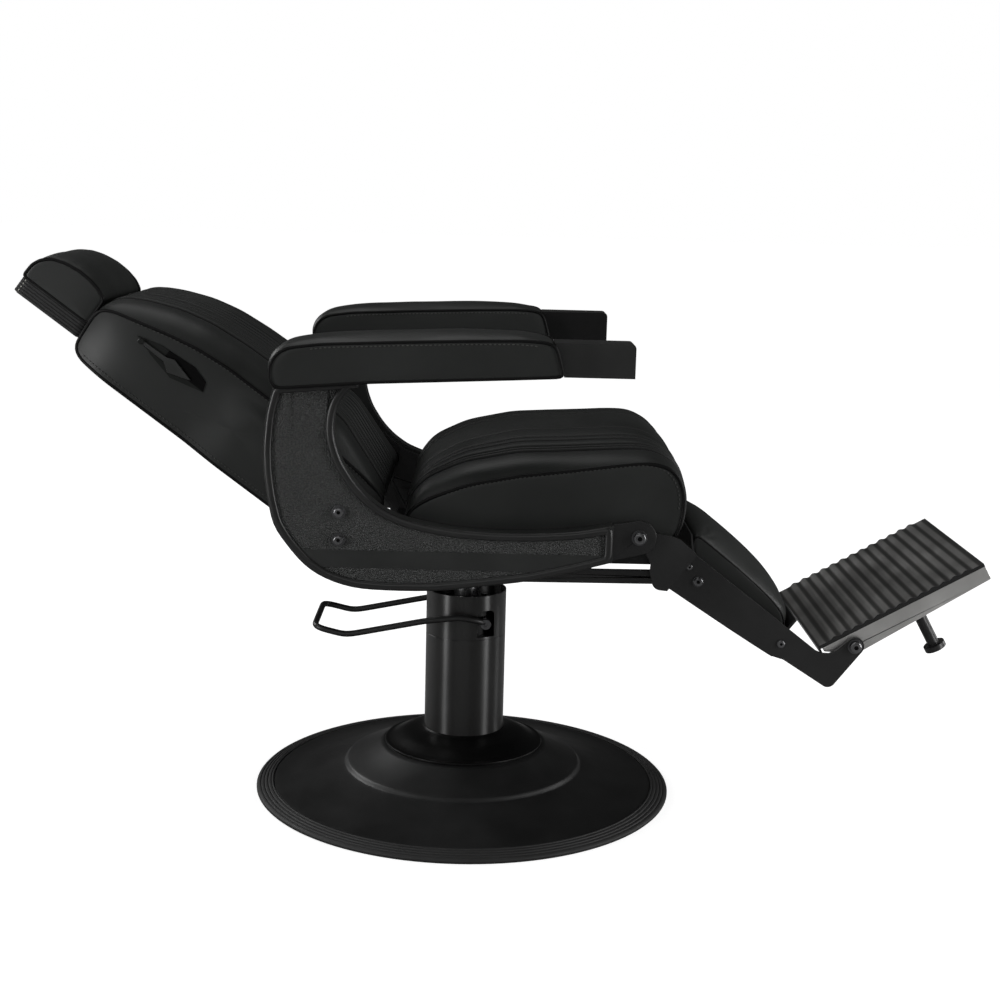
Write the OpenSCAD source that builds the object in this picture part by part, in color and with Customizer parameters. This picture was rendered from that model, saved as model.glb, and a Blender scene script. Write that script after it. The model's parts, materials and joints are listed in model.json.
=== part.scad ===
// Hydraulic barber chair, laid back with its legrest raised.
// The origin is on the floor under the middle of the column. +X is the sitter's front, +Z is up.

/* [Base] */
// Radius of the round base over its rubber rim
base_r = 330; // [312:1:350]
// Width of the rubber rim
rim_w = 27; // [20:1:32]
// Height of the rubber rim at its inner edge
rim_h = 14; // [13:1:18]
// Thickness of the steel base plate
plate_t = 10; // [8:0.5:12]
// Height that the domed cover rises over the plate
dome_h = 63; // [56:1:70]
// Wall of the domed cover
dome_wall = 2.5; // [2:0.1:3]
// Radius of the trim disc round the foot of the column
trim_r = 125.5; // [118:0.5:135]
// Height of the trim disc
trim_h = 27; // [22:1:32]

/* [Column] */
// Radius of the column
column_r = 63; // [61:0.5:66]
// Wall of the column tubes
column_wall = 2.5; // [2:0.1:3]
// Height of the seam between the lower tube and the sleeve
seam_z = 254.5; // [245:0.5:256]
// Height of the top of the sleeve
column_top = 325; // [318:1:332]
// Radius of the pump barrel
pump_r = 45; // [43:0.5:48]
// Height of the top of the pump barrel
pump_top = 300; // [296:1:310]
// Radius of the lifting ram
ram_r = 19; // [17:0.5:20]

/* [Pump lever] */
// Height of the lever shaft
lever_z = 282; // [279:0.5:284]
// How far the lever shaft lies in front of the column's middle
lever_x = 31.5; // [30.5:0.5:33]
// Radius of the lever shaft
lever_shaft_r = 6; // [5:0.1:6.3]
// Radius of the bent bar
lever_bar_r = 4.75; // [4:0.05:5]
// Reach of the lever behind its shaft
lever_reach = 264.5; // [245:0.5:275]
// Half the width between the two legs of the bar
lever_half_w = 75; // [73:0.5:85]

/* [Seat] */
// Width of the seat cushion
seat_w = 524; // [505:1:540]
// Height of the underside of the chassis tubes
chassis_z = 421; // [420:0.5:424]
// Side of the square chassis tube
tube_w = 30; // [26:1:32]
// Wall of the chassis tube
tube_wall = 3; // [2:0.5:4]
// Thickness of the seat board
seat_board_t = 12; // [10:0.5:14]
// Height of the seat cushion at its front piping
seat_cushion_h = 111; // [104:1:118]
// Length of the seat cushion at its piping
seat_cushion_l = 400; // [396:1:404]
// How far the middle of the seat swells over the piping
seat_crown = 20; // [12:0.5:22]

/* [Sides] */
// How far the rear pivot lies behind the column's middle
rear_pivot_back = 150; // [148:1:152]
// How far the seat cushion reaches past the front pivot
seat_reach = 65; // [63:0.5:67]
// Height of the front pivot
front_pivot_z = 471; // [469:0.5:473]
// How much lower the rear pivot is
pivot_drop = 3; // [0:0.5:6]
// Thickness of the steel side plate
side_plate_t = 7; // [5:0.5:8]
// Thickness of the cast side frame
frame_t = 25; // [22:0.5:28]
// How much longer the cast side frame is than the distance between the pivots
frame_over = 91; // [86:1:96]
// Height of the cast side frame below the arm pad
frame_h = 290; // [284:1:294]
// Width of the raised bead round the side frame
bead_w = 9; // [7:0.5:11]
// Depth of the sunk panel inside the bead
panel_depth = 2; // [1:0.1:3]

/* [Arms] */
// Width of the metal arm end
arm_w = 54; // [48:1:60]
// Length of the metal arm end past the pad
arm_end_l = 98.5; // [90:0.5:112]
// Height of the metal arm end
arm_end_h = 47; // [44:1:52]
// Wall of the metal arm end
arm_wall = 3; // [2:0.1:3.5]
// Width of the arm pad
arm_pad_w = 107; // [98:1:112]
// Length of the arm pad
arm_pad_l = 395; // [385:1:405]
// How far the middle of the arm pad swells
arm_crown = 8; // [5:0.5:10]

/* [Back] */
// How far the back leans from upright, in degrees
lean_deg = 53.5; // [52:0.5:54]
// Width of the back
back_w = 390; // [380:1:396]
// Length of the back
back_l = 490; // [470:1:500]
// How far the back cushion stands in front of its board
back_cushion_t = 69; // [62:0.5:72]
// Thickness of the wooden core of the back
core_t = 40; // [38:0.5:42]
// Thickness of the padded rear panel
rear_panel_t = 12.5; // [10:0.5:15]
// How far the middle of the back swells over the piping
back_crown = 26; // [16:0.5:28]
// Thickness of the back's hinge plates
hinge_t = 6; // [5:0.5:7]
// How far the crank pins lie in front of their pivots
crank_reach = 34; // [31:0.5:36]
// How far the crank pins lie below their pivots
crank_drop = 64.5; // [63:0.5:66]
// Height of the recline link bars
link_h = 20; // [16:1:22]

/* [Headrest] */
// Width of the headrest
head_w = 252; // [240:1:265]
// Length of the headrest
head_l = 112; // [100:1:120]
// Thickness of the headrest cushion
head_cushion_t = 54; // [48:0.5:58]
// Thickness of the headrest board
head_board_t = 24; // [23:0.5:25]
// Radius of the headrest posts
post_r = 6; // [5:0.1:6.5]
// Distance between the headrest posts
post_pitch = 110; // [90:1:130]

/* [Legrest] */
// Slope of the legrest below level, in degrees
leg_deg = 37.4; // [36:0.2:38]
// Thickness of the outer legrest brackets
bracket_t = 5; // [4:0.1:6]
// Thickness of the legrest arms
leg_arm_t = 5; // [4:0.1:6]
// Distance from the front pivot to the footplate hinge, along the arm
leg_reach = 377.5; // [370:0.5:382]
// Height of the footplate hinge above the line of the arm
leg_hook = 62.4; // [60:0.2:64]
// Thickness of the calf board
calf_board_t = 8; // [6:0.5:9]
// Gap between the calf pad and the legrest arms
calf_gap = 15; // [11:1:25]
// Height of the calf pad's edge on its board
calf_pad_t = 32; // [28:0.5:35]
// How far the middle of the calf pad swells over its edge
calf_crown = 17; // [10:0.5:18]

/* [Footplate] */
// Width of the footplate over its cheeks
foot_w = 334; // [310:1:350]
// Length of the footplate
foot_l = 273; // [260:1:280]
// Slope of the footplate against the legrest, in degrees
foot_deg = 66.7; // [65:0.1:68]
// How far the deck stands above its hinge
foot_rise = 26; // [24:0.5:27]
// Thickness of the deck under its ribs
deck_t = 5; // [4:0.1:6]
// Number of ribs across the deck
deck_ribs = 13; // [10:1:15]
// Thickness of the footplate cheeks
cheek_t = 6; // [5:0.5:7]
// Length of the bumper posts under the deck
bumper_h = 97; // [88:1:100]
// Radius of the bumper posts
bumper_r = 9; // [7:0.5:10]

/* [Hidden] */
$fn = 64;

// Clearances
cut = 1;
shaft_fit = 0.05;
hole_fit = 0.3;
soft_fit = 0.3;
rim_fit = 0.2;
play = 1;

// Colours, as they show in the photograph
satin_black = [0.11, 0.11, 0.11];
gloss_black = [0.16, 0.15, 0.14];
leather_black = [0.07, 0.07, 0.07];
deck_grey = [0.29, 0.28, 0.28];
inner_steel = [0.45, 0.45, 0.46];
rubber_black = [0.05, 0.05, 0.05];
board_wood = [0.62, 0.47, 0.31];
bolt_black = [0.2, 0.2, 0.2];

// Base
plate_r = base_r - rim_w - rim_fit;
dome_top = plate_t + dome_h;
dome_mouth = 97;
rim_edge_h = 8;
rim_grooves = 4;
groove_share = 0.35;
flange_r = 88;
flange_t = 12;
foot_bolt_ring = 76;
foot_bolt_r = 6;
foot_bolt_depth = 6;
foot_bolt_head_r = 10;
foot_bolt_head_h = 7.5;
trim_edge_h = 3.5;
// Radius and height of the dome, as shares of the plate's radius and of the dome's height
dome_shares = [[0.995, 0.04], [0.93, 0.08], [0.83, 0.17], [0.73, 0.29], [0.645, 0.42], [0.625, 0.46],
  [0.613, 0.535], [0.595, 0.575], [0.53, 0.71], [0.47, 0.86], [0.42, 1]];

// Column, pump and lever
spider_t = 3;
ram_tail = 60;
ram_top = 415;
pump_floor = 40;
window_w = 26;
window_h = 42;
window_r = 8;
window_drop = 2;
eye_in = 54;
eye_t = 7;
eye_r = 9;
lever_head_r = 8;
lever_head_h = 4.5;
// Course of one leg of the lever: back and up as shares of the reach, out as a share of the half width
lever_shares = [[0, 0, 0.767], [0.043, 0.02, 0.887], [0.142, 0.047, 0.965], [0.353, 0.025, 1],
  [0.779, -0.062, 1], [0.828, -0.066, 1], [0.955, -0.035, 1], [0.987, -0.027, 0.955],
  [1, -0.022, 0.84]];

// Lateral planes, measured out from the middle of the chair
side_gap = 2;
washer_t = 3;
y_bracket = seat_w / 2 + side_gap;
y_plate = y_bracket + bracket_t + washer_t;
y_frame = y_plate + side_plate_t;
y_face = y_frame + frame_t;
hinge_gap = 0.5;
y_hinge = back_w / 2 + hinge_gap;
link_t = 8;
link_gap = 28;
link_end_r = 11;
y_link = y_plate - link_gap - link_t;
arm_shift = 2;
y_arm = y_frame + arm_shift;
leg_gap = 3;
y_leg = foot_w / 2 + leg_gap;

// Chassis and hub
seat_rear = 92;
front_pivot_x = seat_cushion_l - seat_rear - seat_reach;
rear_tube_x = 75;
front_tube_back = 65;
front_tube_x = front_pivot_x - front_tube_back;
rail_front_gap = 27;
rail_front = front_pivot_x + rail_front_gap;
rail_out = 226;
hub_plate_t = 8;
hub_plate_run = 90;
hub_plate_up = 4;
hub_plate_z = chassis_z + hub_plate_up;
hub_r = 38;
hub_h = 55;
thrust_t = 3;
hub_mouth = hub_plate_z - hub_h;
board_z = chassis_z + tube_w;
board_inset = 12;
seat_base = board_z + seat_board_t;

// Pivots
rear_pivot_x = -rear_pivot_back;
pivot_gap = front_pivot_x - rear_pivot_x;
rear_pivot_z = front_pivot_z - pivot_drop;
pivot_r = 8;
boss_r = 14;
boss_gap = 2;
front_bolt_r = 6;
bolt_head_r = 8;
bolt_head_h = 5;
washer_r = 11;
crank_pin_r = 6;
crank_end_r = 13;
open_fit = 0.8;
tab_r = 24;
tie_r = 8;
// Side plate: forward and up from the rear pivot, as shares of the distance between the pivots
plate_shares = [[0.903, 0.053], [0.763, 0.026], [0.496, 0.013], [0.229, 0.03], [0.089, 0.081],
  [0, 0.153], [-0.127, 0.153], [-0.165, 0.081], [-0.148, -0.033], [-0.064, -0.092],
  [0.229, -0.102], [0.763, -0.092], [0.903, -0.079]];

// Cast side frame: outer and inner edges as shares of its length and height, from its lower rear
frame_l = pivot_gap + frame_over;
frame_front_gap = 39;
frame_front = front_pivot_x - frame_front_gap;
frame_rear = frame_l - frame_front;
frame_low = 398;
frame_outer_shares = [[0.029, 0.958], [0.008, 0.817], [0, 0.669], [0.002, 0.541], [0.0124, 0.417],
  [0.029, 0.297], [0.064, 0.203], [0.118, 0.1], [0.178, 0.036], [0.256, -0.005], [0.349, -0.017],
  [0.488, -0.014], [0.638, 0.0155], [0.773, 0.048], [0.899, 0.1], [1, 0.145]];
frame_inner_shares = [[1, 0.324], [0.895, 0.293], [0.783, 0.279], [0.671, 0.276], [0.56, 0.286],
  [0.486, 0.303], [0.409, 0.331], [0.349, 0.372], [0.298, 0.434], [0.26, 0.503], [0.223, 0.6],
  [0.2045, 0.686], [0.198, 0.752], [0.2025, 0.838], [0.217, 0.9], [0.244, 0.952], [0.278, 0.994]];
band_low_share = 0.09;
band_high_share = 0.177;
band_height_share = 0.5;
frame_bolt_r = 5;
frame_bolt_back = 26;
frame_bolt_up = 35;
frame_bolt_pitch = 39;
frame_head_r = 7;
frame_head_h = 4;
frame_washer_r = 9.5;
frame_washer_t = 1.5;
tenon_l = 46;
tenon_in = 24;

// Arms
arm_bar_t = 10;
arm_bar_up = 306;
arm_bar_z = frame_low + arm_bar_up;
pad_in = 12;
pad_rear = frame_rear - pad_in;
pad_front_x = arm_pad_l - pad_rear;
pad_sink = 12;
pad_low = frame_low + frame_h - pad_sink;
arm_end_up = 299;
arm_end_z = frame_low + arm_end_up;
arm_slant = 14;
arm_gap = 2;
// Arm pad: back to front and up, as shares of its length and of its height, with the swell's share
arm_pad_h = 73;
arm_pad_shares = [[0.015, 0, 0], [0, 0.2, 0.5], [0.001, 0.42, 0.8], [0.02, 0.62, 1], [0.06, 0.75, 1],
  [0.17, 0.83, 1], [0.43, 0.9, 1], [0.68, 0.955, 1], [0.86, 0.98, 0.8], [0.93, 0.955, 0.4],
  [0.962, 0.9, 0.1], [0.972, 0.8, 0], [0.985, 0.55, 0], [1, 0.33, 0], [0.83, 0.28, 0],
  [0.34, 0.15, 0]];

// Cushions: the seat's side outline, forward and up as shares of its length and height, with the
// share of the swell that each point takes
seat_shares = [[0.03, 0, 0], [0.015, 0.126, 0], [0.0175, 0.288, 0.2], [0.055, 0.396, 0.8],
  [0.1075, 0.5, 1.3], [0.235, 0.667, 1.4], [0.4175, 0.793, 1.3], [0.6, 0.874, 0.95],
  [0.78, 0.964, 0.6], [0.871, 1, 0.45], [0.945, 0.941, 0.35], [0.9825, 0.775, 0.4], [1, 0.541, 0.5],
  [0.99, 0.27, 0.5], [0.975, 0.072, 0.3], [0.965, 0, 0], [0.5, 0, 0]];
channel_count = 9;
channel_w = 9;
channel_depth = 3;
seat_channel_span_share = 0.56;
seat_edge_r = 22;
side_draw = 2;
full_crown = 6;
soft_crown = 2;
// Back cushion: out and up as shares of its thickness and length, with the swell's share
back_shares = [[0, 0, 0], [0.7, 0, 0], [0.94, 0.012, 0.03], [0.97, 0.1, 0.12], [0.985, 0.25, 0.6],
  [1, 0.42, 1], [1.005, 0.61, 1], [0.93, 0.715, 1], [0.8, 0.805, 0.95], [0.62, 0.9, 0.75],
  [0.5, 0.963, 0.45], [0.4, 0.993, 0.2], [0.2, 1, 0], [0, 1, 0]];
back_channel_span_share = 0.56;
back_edge_r = 20;
core_front = -10;
back_foot = 10;
core_gap = 2;
// Headrest cushion: out and up as shares of its thickness and length, with the swell's share
head_shares = [[0, 0, 0], [0.76, 0, 0], [0.907, 0.134, 0.5], [0.978, 0.295, 1], [0.993, 0.478, 1],
  [0.937, 0.66, 1], [0.815, 0.83, 1], [0.604, 0.9375, 0.7], [0.37, 0.991, 0.3], [0, 1, 0]];
head_gap = 11;
head_front = -26;
head_crown = 3;
head_edge_r = 14;
post_in = 160;
post_out = 62;
guide_r = 10;
guide_l = 110;
guide_flange_r = 11.5;
guide_flange_t = 2.5;
post_x = -38;
// Calf pad: along and up from its board, as shares of its length and height, with the swell's share
calf_shares = [[0.12, 0, 0], [0.095, 0.234, 0], [0.06, 0.484, 0.05], [0.035, 0.703, 0.1],
  [0.025, 0.89, 0.4], [0.045, 0.984, 1], [0.12, 1, 1], [0.245, 0.984, 1], [0.435, 0.953, 1],
  [0.63, 0.89, 1], [0.76, 0.8125, 1], [0.86, 0.703, 1], [0.925, 0.547, 1], [0.965, 0.36, 0.75],
  [0.99, 0.14, 0.2], [1, 0, 0]];
calf_edge_r = 16;

// Legrest, in its own axes: along the arm and square to it
web_x = 82;
web_t = 4;
web_low = 31;
web_high = 30;
web_top = 40;
// Where the web's upper edge starts to rise, and where it is full, as shares of half its width
web_rise_shares = [0.88, 0.635];
ear_l = 62;
ear_t = 5;
ear_high = 10;
calf_z = 3.5;
calf_board_gap = 20;
calf_foot_gap = 85.5;
calf_end = leg_reach - calf_foot_gap;
calf_start_gap = 2;
calf_start = web_x + calf_start_gap;
calf_end_gap = 8;
calf_pad_l = calf_end - calf_end_gap - calf_start;
calf_lip_h = 25;
calf_lip_t = 4;
tie_bar_r = 7;
tie_bar_back = 3.6;
tie_bar_x = calf_end - tie_bar_back;
tie_bar_z = calf_z - tie_bar_r;
hook_r = 13.5;
foot_corner_r = 12;
foot_corner_z = 1.5;
cross_hole_r = 3;
cross_hole_inset = 28;
cross_hole_z = 22;
upper_bolt_x = 107;
upper_bolt_z = 1.2;
main_bolt_x = 131;
main_bolt_z = 7.9;
leg_bolt_r = 4;
small_bolt_r = 3;
// Lower edge of the arm, along and down, as shares of the reach
arm_low_shares = [[0.813, -0.053], [0.771, -0.069], [0.75, -0.074], [0.563, -0.092], [0.278, -0.114],
  [0.22, -0.116]];
// Upper edge between the straight and the hook, as shares of the reach
arm_high_shares = [[0.22, 0.0556], [0.89, 0.0556], [0.914, 0.061], [0.94, 0.08], [0.953, 0.107]];
// Outer bracket, as shares of its length to the cross plate
bracket_low_shares = [[0.29, -0.16], [0.47, -0.24], [0.56, -0.38]];
bracket_high_shares = [[1, 0.366], [0.86, 0.39], [0.6, 0.4], [0.43, 0.35], [0.24, 0.25]];
bracket_r = 20;

// Footplate, in its own axes: out along the deck and square to it
foot_in = 49.5;
rib_h = 3;
rib_flat = 20;
rib_steps = 6;
deck_lip_t = 3;
deck_lip_h = 9;
cheek_low_in = 14;
cheek_low_out = 3.5;
bumper_x = 111.5;
bumper_in = 47;
bumper_y = foot_w / 2 - bumper_in;
bumper_flange_r = 16.5;
bumper_flange_t = 8;

// Recline lock
lock_y = 100;
lock_t = 10;
lock_x = 205;
lock_drop = 17;
lock_z = chassis_z - lock_drop;
lock_r = 11;
lock_eye_r = 10;
lock_pin_r = 5;
lock_lug_t = 6;
lock_neck = 15;
lock_l = 155;
rod_r = 5;
rod_in = 120;
rod_eye_r = 16;
rod_eye_fit = 3;
rod_eye_drop = 2.45;
crank_x = rear_pivot_x + crank_reach;
crank_z = rear_pivot_z - crank_drop;
lock_run = lock_x - crank_x;
lock_rise = lock_z - crank_z + rod_eye_drop;
lock_tilt = atan2(lock_rise, lock_run);
lock_span = norm([lock_run, lock_rise]);

// Release paddle, out and up in the back's own axes, as shares of the back's length
paddle_pin_shares = [0.032, 0.827];
paddle_shares = [[0.026, 0.836], [0.038, 0.836], [0.039, 0.742], [0.0475, 0.718], [0.0275, 0.647],
  [0.0047, 0.715], [0.025, 0.742]];
bezel_shares = [[0.037, 0.845], [0.057, 0.776], [0.065, 0.66], [0.049, 0.61], [0.02, 0.6],
  [-0.004, 0.7], [0.015, 0.78]];
bezel_t = 2;
paddle_gap = 0.5;
paddle_t = 2.5;
paddle_pin_r = 2.5;
paddle_head_r = 4;
paddle_head_h = 1.5;
screw_r = 3;
screw_head_r = 6;
screw_head_h = 2.5;
screw_l = 22;
screw_shares = [0.12, 0.235, 0.35];
strap_w = 34;
strap_l = 190;
strap_in = -46;

// Small tools of drawing

// A Catmull-Rom point between b and c
function blend4(a, b, c, d, t) =
  0.5 * ((2 * b) + (c - a) * t + (2 * a - 5 * b + 4 * c - d) * t * t
    + (3 * b - a - 3 * c + d) * t * t * t);

// A smooth open line through hand-set points
function smooth(p, steps) = concat(
  [for (i = [0 : len(p) - 2]) for (s = [0 : steps - 1])
    blend4(p[max(i - 1, 0)], p[i], p[i + 1], p[min(i + 2, len(p) - 1)], s / steps)],
  [p[len(p) - 1]]);

function scaled(shares, x0, z0, l, h) = [for (s = shares) [x0 + s[0] * l, z0 + s[1] * h]];

function arc_line(c, r, from, to, n) =
  [for (i = [0 : n]) c + r * [cos(from + (to - from) * i / n), sin(from + (to - from) * i / n)]];

// The left-hand normal of a line at point i
function normal_at(p, i) =
  let (a = p[max(i - 1, 0)], b = p[min(i + 1, len(p) - 1)], d = b - a)
  [-d[1], d[0]] / norm(d);

function shifted(p, d) = [for (i = [0 : len(p) - 1]) p[i] + d * normal_at(p, i)];

// The same on a closed outline, whose points also hold a share of the swell
function ring_normal(p, i) =
  let (n = len(p), a = p[(i + n - 1) % n], b = p[(i + 1) % n], d = [b[0] - a[0], b[1] - a[1]])
  [-d[1], d[0]] / norm(d);

// Extrudes an outline drawn in X and Z between two distances out
module slab(y0, y1) {
  translate([0, y1, 0]) rotate([90, 0, 0]) linear_extrude(y1 - y0) children();
}

module rod_y(x, z, r, y0, y1) {
  translate([x, y1, z]) rotate([90, 0, 0]) cylinder(r = r, h = y1 - y0);
}

module right() {
  mirror([0, 1, 0]) children();
}

module both() {
  children();
  mirror([0, 1, 0]) children();
}

// A round bar between two points
module stick(a, b, r) {
  d = b - a;
  translate(a) rotate([0, acos(d[2] / norm(d)), atan2(d[1], d[0])]) cylinder(r = r, h = norm(d));
}

// A flat link outline between two points
module strip(a, b, r) {
  d = (b - a) / norm(b - a);
  n = [-d[1], d[0]] * r;
  polygon([a + n, a - n, b - n, b + n]);
  translate(a) circle(r = r);
  translate(b) circle(r = r);
}

// A button head that faces outwards, with a hexagon socket
module button_head(x, z, r, h, y) {
  difference() {
    rod_y(x, z, r, y, y + h);
    translate([x, y + h + cut, z]) rotate([90, 0, 0]) cylinder(r = r / 2, h = h / 2 + cut, $fn = 6);
  }
}

// A padded form: its side outline repeated across the width, swollen by a crown, rounded at both
// edges, with sewn channels, and a little drawn in on its two flat sides. The higher the power, the
// nearer to the edges the crown keeps its height.
module padded(outline, half_w, crown, power, edge_r, channels, channel_w, channel_depth, draw) {
  n = len(outline);
  function crown_at(y) = crown * (1 - pow(abs(y) / half_w, power));
  edge = [[half_w, -0.16 * edge_r], [half_w - 0.12 * edge_r, -0.05 * edge_r],
    [half_w - 0.45 * edge_r, 0], [half_w - edge_r, 0]];
  lines = concat(
    [for (e = edge) [-e[0], crown_at(e[0]) + e[1]]],
    [for (c = channels) each [[c - channel_w / 2, crown_at(c - channel_w / 2)],
      [c, crown_at(c) - channel_depth], [c + channel_w / 2, crown_at(c + channel_w / 2)]]],
    [for (i = [len(edge) - 1 : -1 : 0]) [edge[i][0], crown_at(edge[i][0]) + edge[i][1]]]);
  m = len(lines);
  mid = [for (k = [0, 1]) [for (p = outline) p[k]] * [for (p = outline) 1] / n];
  points = concat(
    [for (l = lines) for (i = [0 : n - 1])
      let (p = outline[i], s = ring_normal(outline, i) * p[2] * l[1])
      [p[0] + s[0], l[0], p[1] + s[1]]],
    [[mid[0], draw - half_w, mid[1]], [mid[0], half_w - draw, mid[1]]]);
  faces = concat(
    [for (j = [0 : m - 2]) for (i = [0 : n - 1])
      let (a = j * n + i, b = j * n + (i + 1) % n, c = a + n, d = b + n)
      each [[a, b, d], [a, d, c]]],
    [for (i = [0 : n - 1]) [m * n, (i + 1) % n, i]],
    [for (i = [0 : n - 1]) [m * n + 1, (m - 1) * n + i, (m - 1) * n + (i + 1) % n]]);
  polyhedron(points = points, faces = faces);
}

function channel_lines(span) =
  [for (i = [0 : channel_count - 1]) span * (i / (channel_count - 1) - 0.5)];

function padded_outline(shares, x0, z0, l, h) =
  [for (s = shares) [x0 + s[0] * l, z0 + s[1] * h, s[2]]];

// The three tilted frames that the moving pieces are drawn in
module on_back() {
  translate([rear_pivot_x, 0, rear_pivot_z]) rotate([0, -lean_deg, 0]) children();
}

module on_legrest() {
  translate([front_pivot_x, 0, front_pivot_z]) rotate([0, leg_deg, 0]) children();
}

module on_footplate() {
  on_legrest() translate([leg_reach, 0, leg_hook]) rotate([0, -foot_deg, 0]) children();
}

function to_legrest(dx, dz) =
  [dx * cos(leg_deg) - dz * sin(leg_deg), dx * sin(leg_deg) + dz * cos(leg_deg)];

function to_back(dx, dz) =
  [dx * cos(lean_deg) + dz * sin(lean_deg), -dx * sin(lean_deg) + dz * cos(lean_deg)];

// Base and column

module foot_bolt_places() {
  for (i = [0 : 3]) rotate([0, 0, 45 + 90 * i]) translate([foot_bolt_ring, 0, 0]) children();
}

module base_plate() {
  color(satin_black) difference() {
    cylinder(r = plate_r, h = plate_t);
    foot_bolt_places() translate([0, 0, plate_t - foot_bolt_depth])
      cylinder(r = foot_bolt_r + shaft_fit, h = foot_bolt_depth + cut);
  }
}

module base_cover() {
  outer = smooth(scaled(dome_shares, 0, plate_t, plate_r, dome_h), 2);
  inner = shifted(outer, dome_wall);
  color(satin_black) rotate_extrude($fn = 96) polygon(concat(
    [[plate_r, plate_t], [plate_r, plate_t + dome_wall / 2]], outer, [[dome_mouth, dome_top]],
    [[dome_mouth, dome_top - dome_wall]],
    [for (i = [len(inner) - 2 : -1 : 1]) inner[i]],
    [[plate_r - 3 * dome_wall, plate_t]]));
}

module base_rim_ring() {
  inner = base_r - rim_w;
  step = (rim_w - 2 * dome_wall) / rim_grooves;
  drop = (rim_h - rim_edge_h) / rim_grooves;
  color(rubber_black) rotate_extrude($fn = 96) polygon(concat(
    [[inner, 0], [base_r - dome_wall, 0], [base_r, dome_wall], [base_r, rim_edge_h - dome_wall]],
    [for (i = [0 : rim_grooves - 1])
      let (r = base_r - dome_wall - i * step, z = rim_edge_h + i * drop)
      each [[r, z], [r - step * (1 - groove_share), z + drop * (1 - groove_share)],
        [r - step * (1 - groove_share / 2), z - drop * groove_share]]],
    [[inner + dome_wall, rim_h], [inner, rim_h]]));
}

module column_trim_disc() {
  hole = column_r + hole_fit;
  top = dome_top + trim_h;
  color(satin_black) rotate_extrude($fn = 96) polygon([
    [dome_mouth + dome_wall, dome_top], [trim_r, dome_top], [trim_r, dome_top + trim_edge_h],
    [trim_r - trim_edge_h, dome_top + 1.3 * trim_edge_h],
    [trim_r - 2 * trim_edge_h, dome_top + 1.3 * trim_edge_h],
    [(trim_r + hole) / 2, dome_top + 0.62 * trim_h], [hole + trim_edge_h, top - trim_edge_h],
    [hole, top], [hole, top - 2 * trim_edge_h], [(trim_r + hole) / 2, dome_top + 0.4 * trim_h]]);
}

module column_cover() {
  foot = plate_t + flange_t;
  color(satin_black) translate([0, 0, foot]) difference() {
    cylinder(r = column_r, h = seam_z - foot);
    translate([0, 0, -cut]) cylinder(r = column_r - column_wall, h = seam_z - foot + 2 * cut);
  }
}

module window_outline() {
  w = window_w / 2;
  base = lever_z - window_drop - window_h / 2;
  top = base + window_h;
  polygon(concat([[lever_x - w, base], [lever_x + w, base]],
    arc_line([lever_x + w - window_r, top - window_r], window_r, 0, 90, 6),
    arc_line([lever_x - w + window_r, top - window_r], window_r, 90, 180, 6)));
}

module pump_sleeve() {
  color(gloss_black) {
    difference() {
      translate([0, 0, seam_z]) cylinder(r = column_r, h = column_top - seam_z);
      translate([0, 0, seam_z - cut]) cylinder(r = column_r - column_wall, h = column_top);
      slab(-column_r - cut, column_r + cut) window_outline();
    }
    difference() {
      translate([0, 0, seam_z]) cylinder(r = column_r - column_wall / 2, h = spider_t);
      translate([0, 0, seam_z - cut]) cylinder(r = pump_r + shaft_fit, h = spider_t + 2 * cut);
    }
  }
}

module pump_body() {
  color(inner_steel) difference() {
    union() {
      translate([0, 0, plate_t]) cylinder(r = flange_r, h = flange_t);
      translate([0, 0, plate_t]) cylinder(r = pump_r, h = pump_top - plate_t);
    }
    translate([0, 0, pump_floor]) cylinder(r = ram_r + shaft_fit, h = pump_top);
    rod_y(lever_x, lever_z, lever_shaft_r + shaft_fit, -flange_r, flange_r);
    foot_bolt_places() translate([0, 0, plate_t - cut])
      cylinder(r = foot_bolt_r + hole_fit, h = flange_t + 2 * cut);
  }
}

module pump_foot_bolts() {
  color(bolt_black) foot_bolt_places() {
    translate([0, 0, plate_t - foot_bolt_depth]) cylinder(r = foot_bolt_r, h = foot_bolt_depth + flange_t);
    translate([0, 0, plate_t + flange_t]) cylinder(r = foot_bolt_head_r, h = foot_bolt_head_h, $fn = 6);
  }
}

// Pump lever

function lever_point(s) =
  [lever_x - s[0] * lever_reach, s[2] * lever_half_w, lever_z + s[1] * lever_reach];

module lever_bar() {
  p = [for (s = lever_shares) lever_point(s)];
  n = len(p);
  tip = p[n - 1];
  color(satin_black) {
    both() difference() {
      union() {
        for (i = [0 : n - 2]) stick(p[i], p[i + 1], lever_bar_r);
        for (i = [1 : n - 1]) translate(p[i]) sphere(r = lever_bar_r, $fn = 32);
        rod_y(lever_x, lever_z, eye_r, eye_in, eye_in + eye_t);
      }
      rod_y(lever_x, lever_z, lever_shaft_r + shaft_fit, 0, eye_in + eye_t);
      rod_y(lever_x, lever_z, 2 * eye_r, 0, eye_in);
      rod_y(lever_x, lever_z, lever_head_r + hole_fit, eye_in + eye_t, lever_half_w);
    }
    stick(tip, [tip[0], -tip[1], tip[2]], lever_bar_r);
  }
}

module lever_shaft() {
  color(inner_steel) rod_y(lever_x, lever_z, lever_shaft_r, -eye_in - eye_t, eye_in + eye_t);
}

module lever_bolts() {
  color(bolt_black) both()
    button_head(lever_x, lever_z, lever_head_r, lever_head_h, eye_in + eye_t);
}

module ram_piston() {
  color(inner_steel) translate([0, 0, ram_tail]) cylinder(r = ram_r, h = ram_top - ram_tail);
}

// Seat chassis

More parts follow.
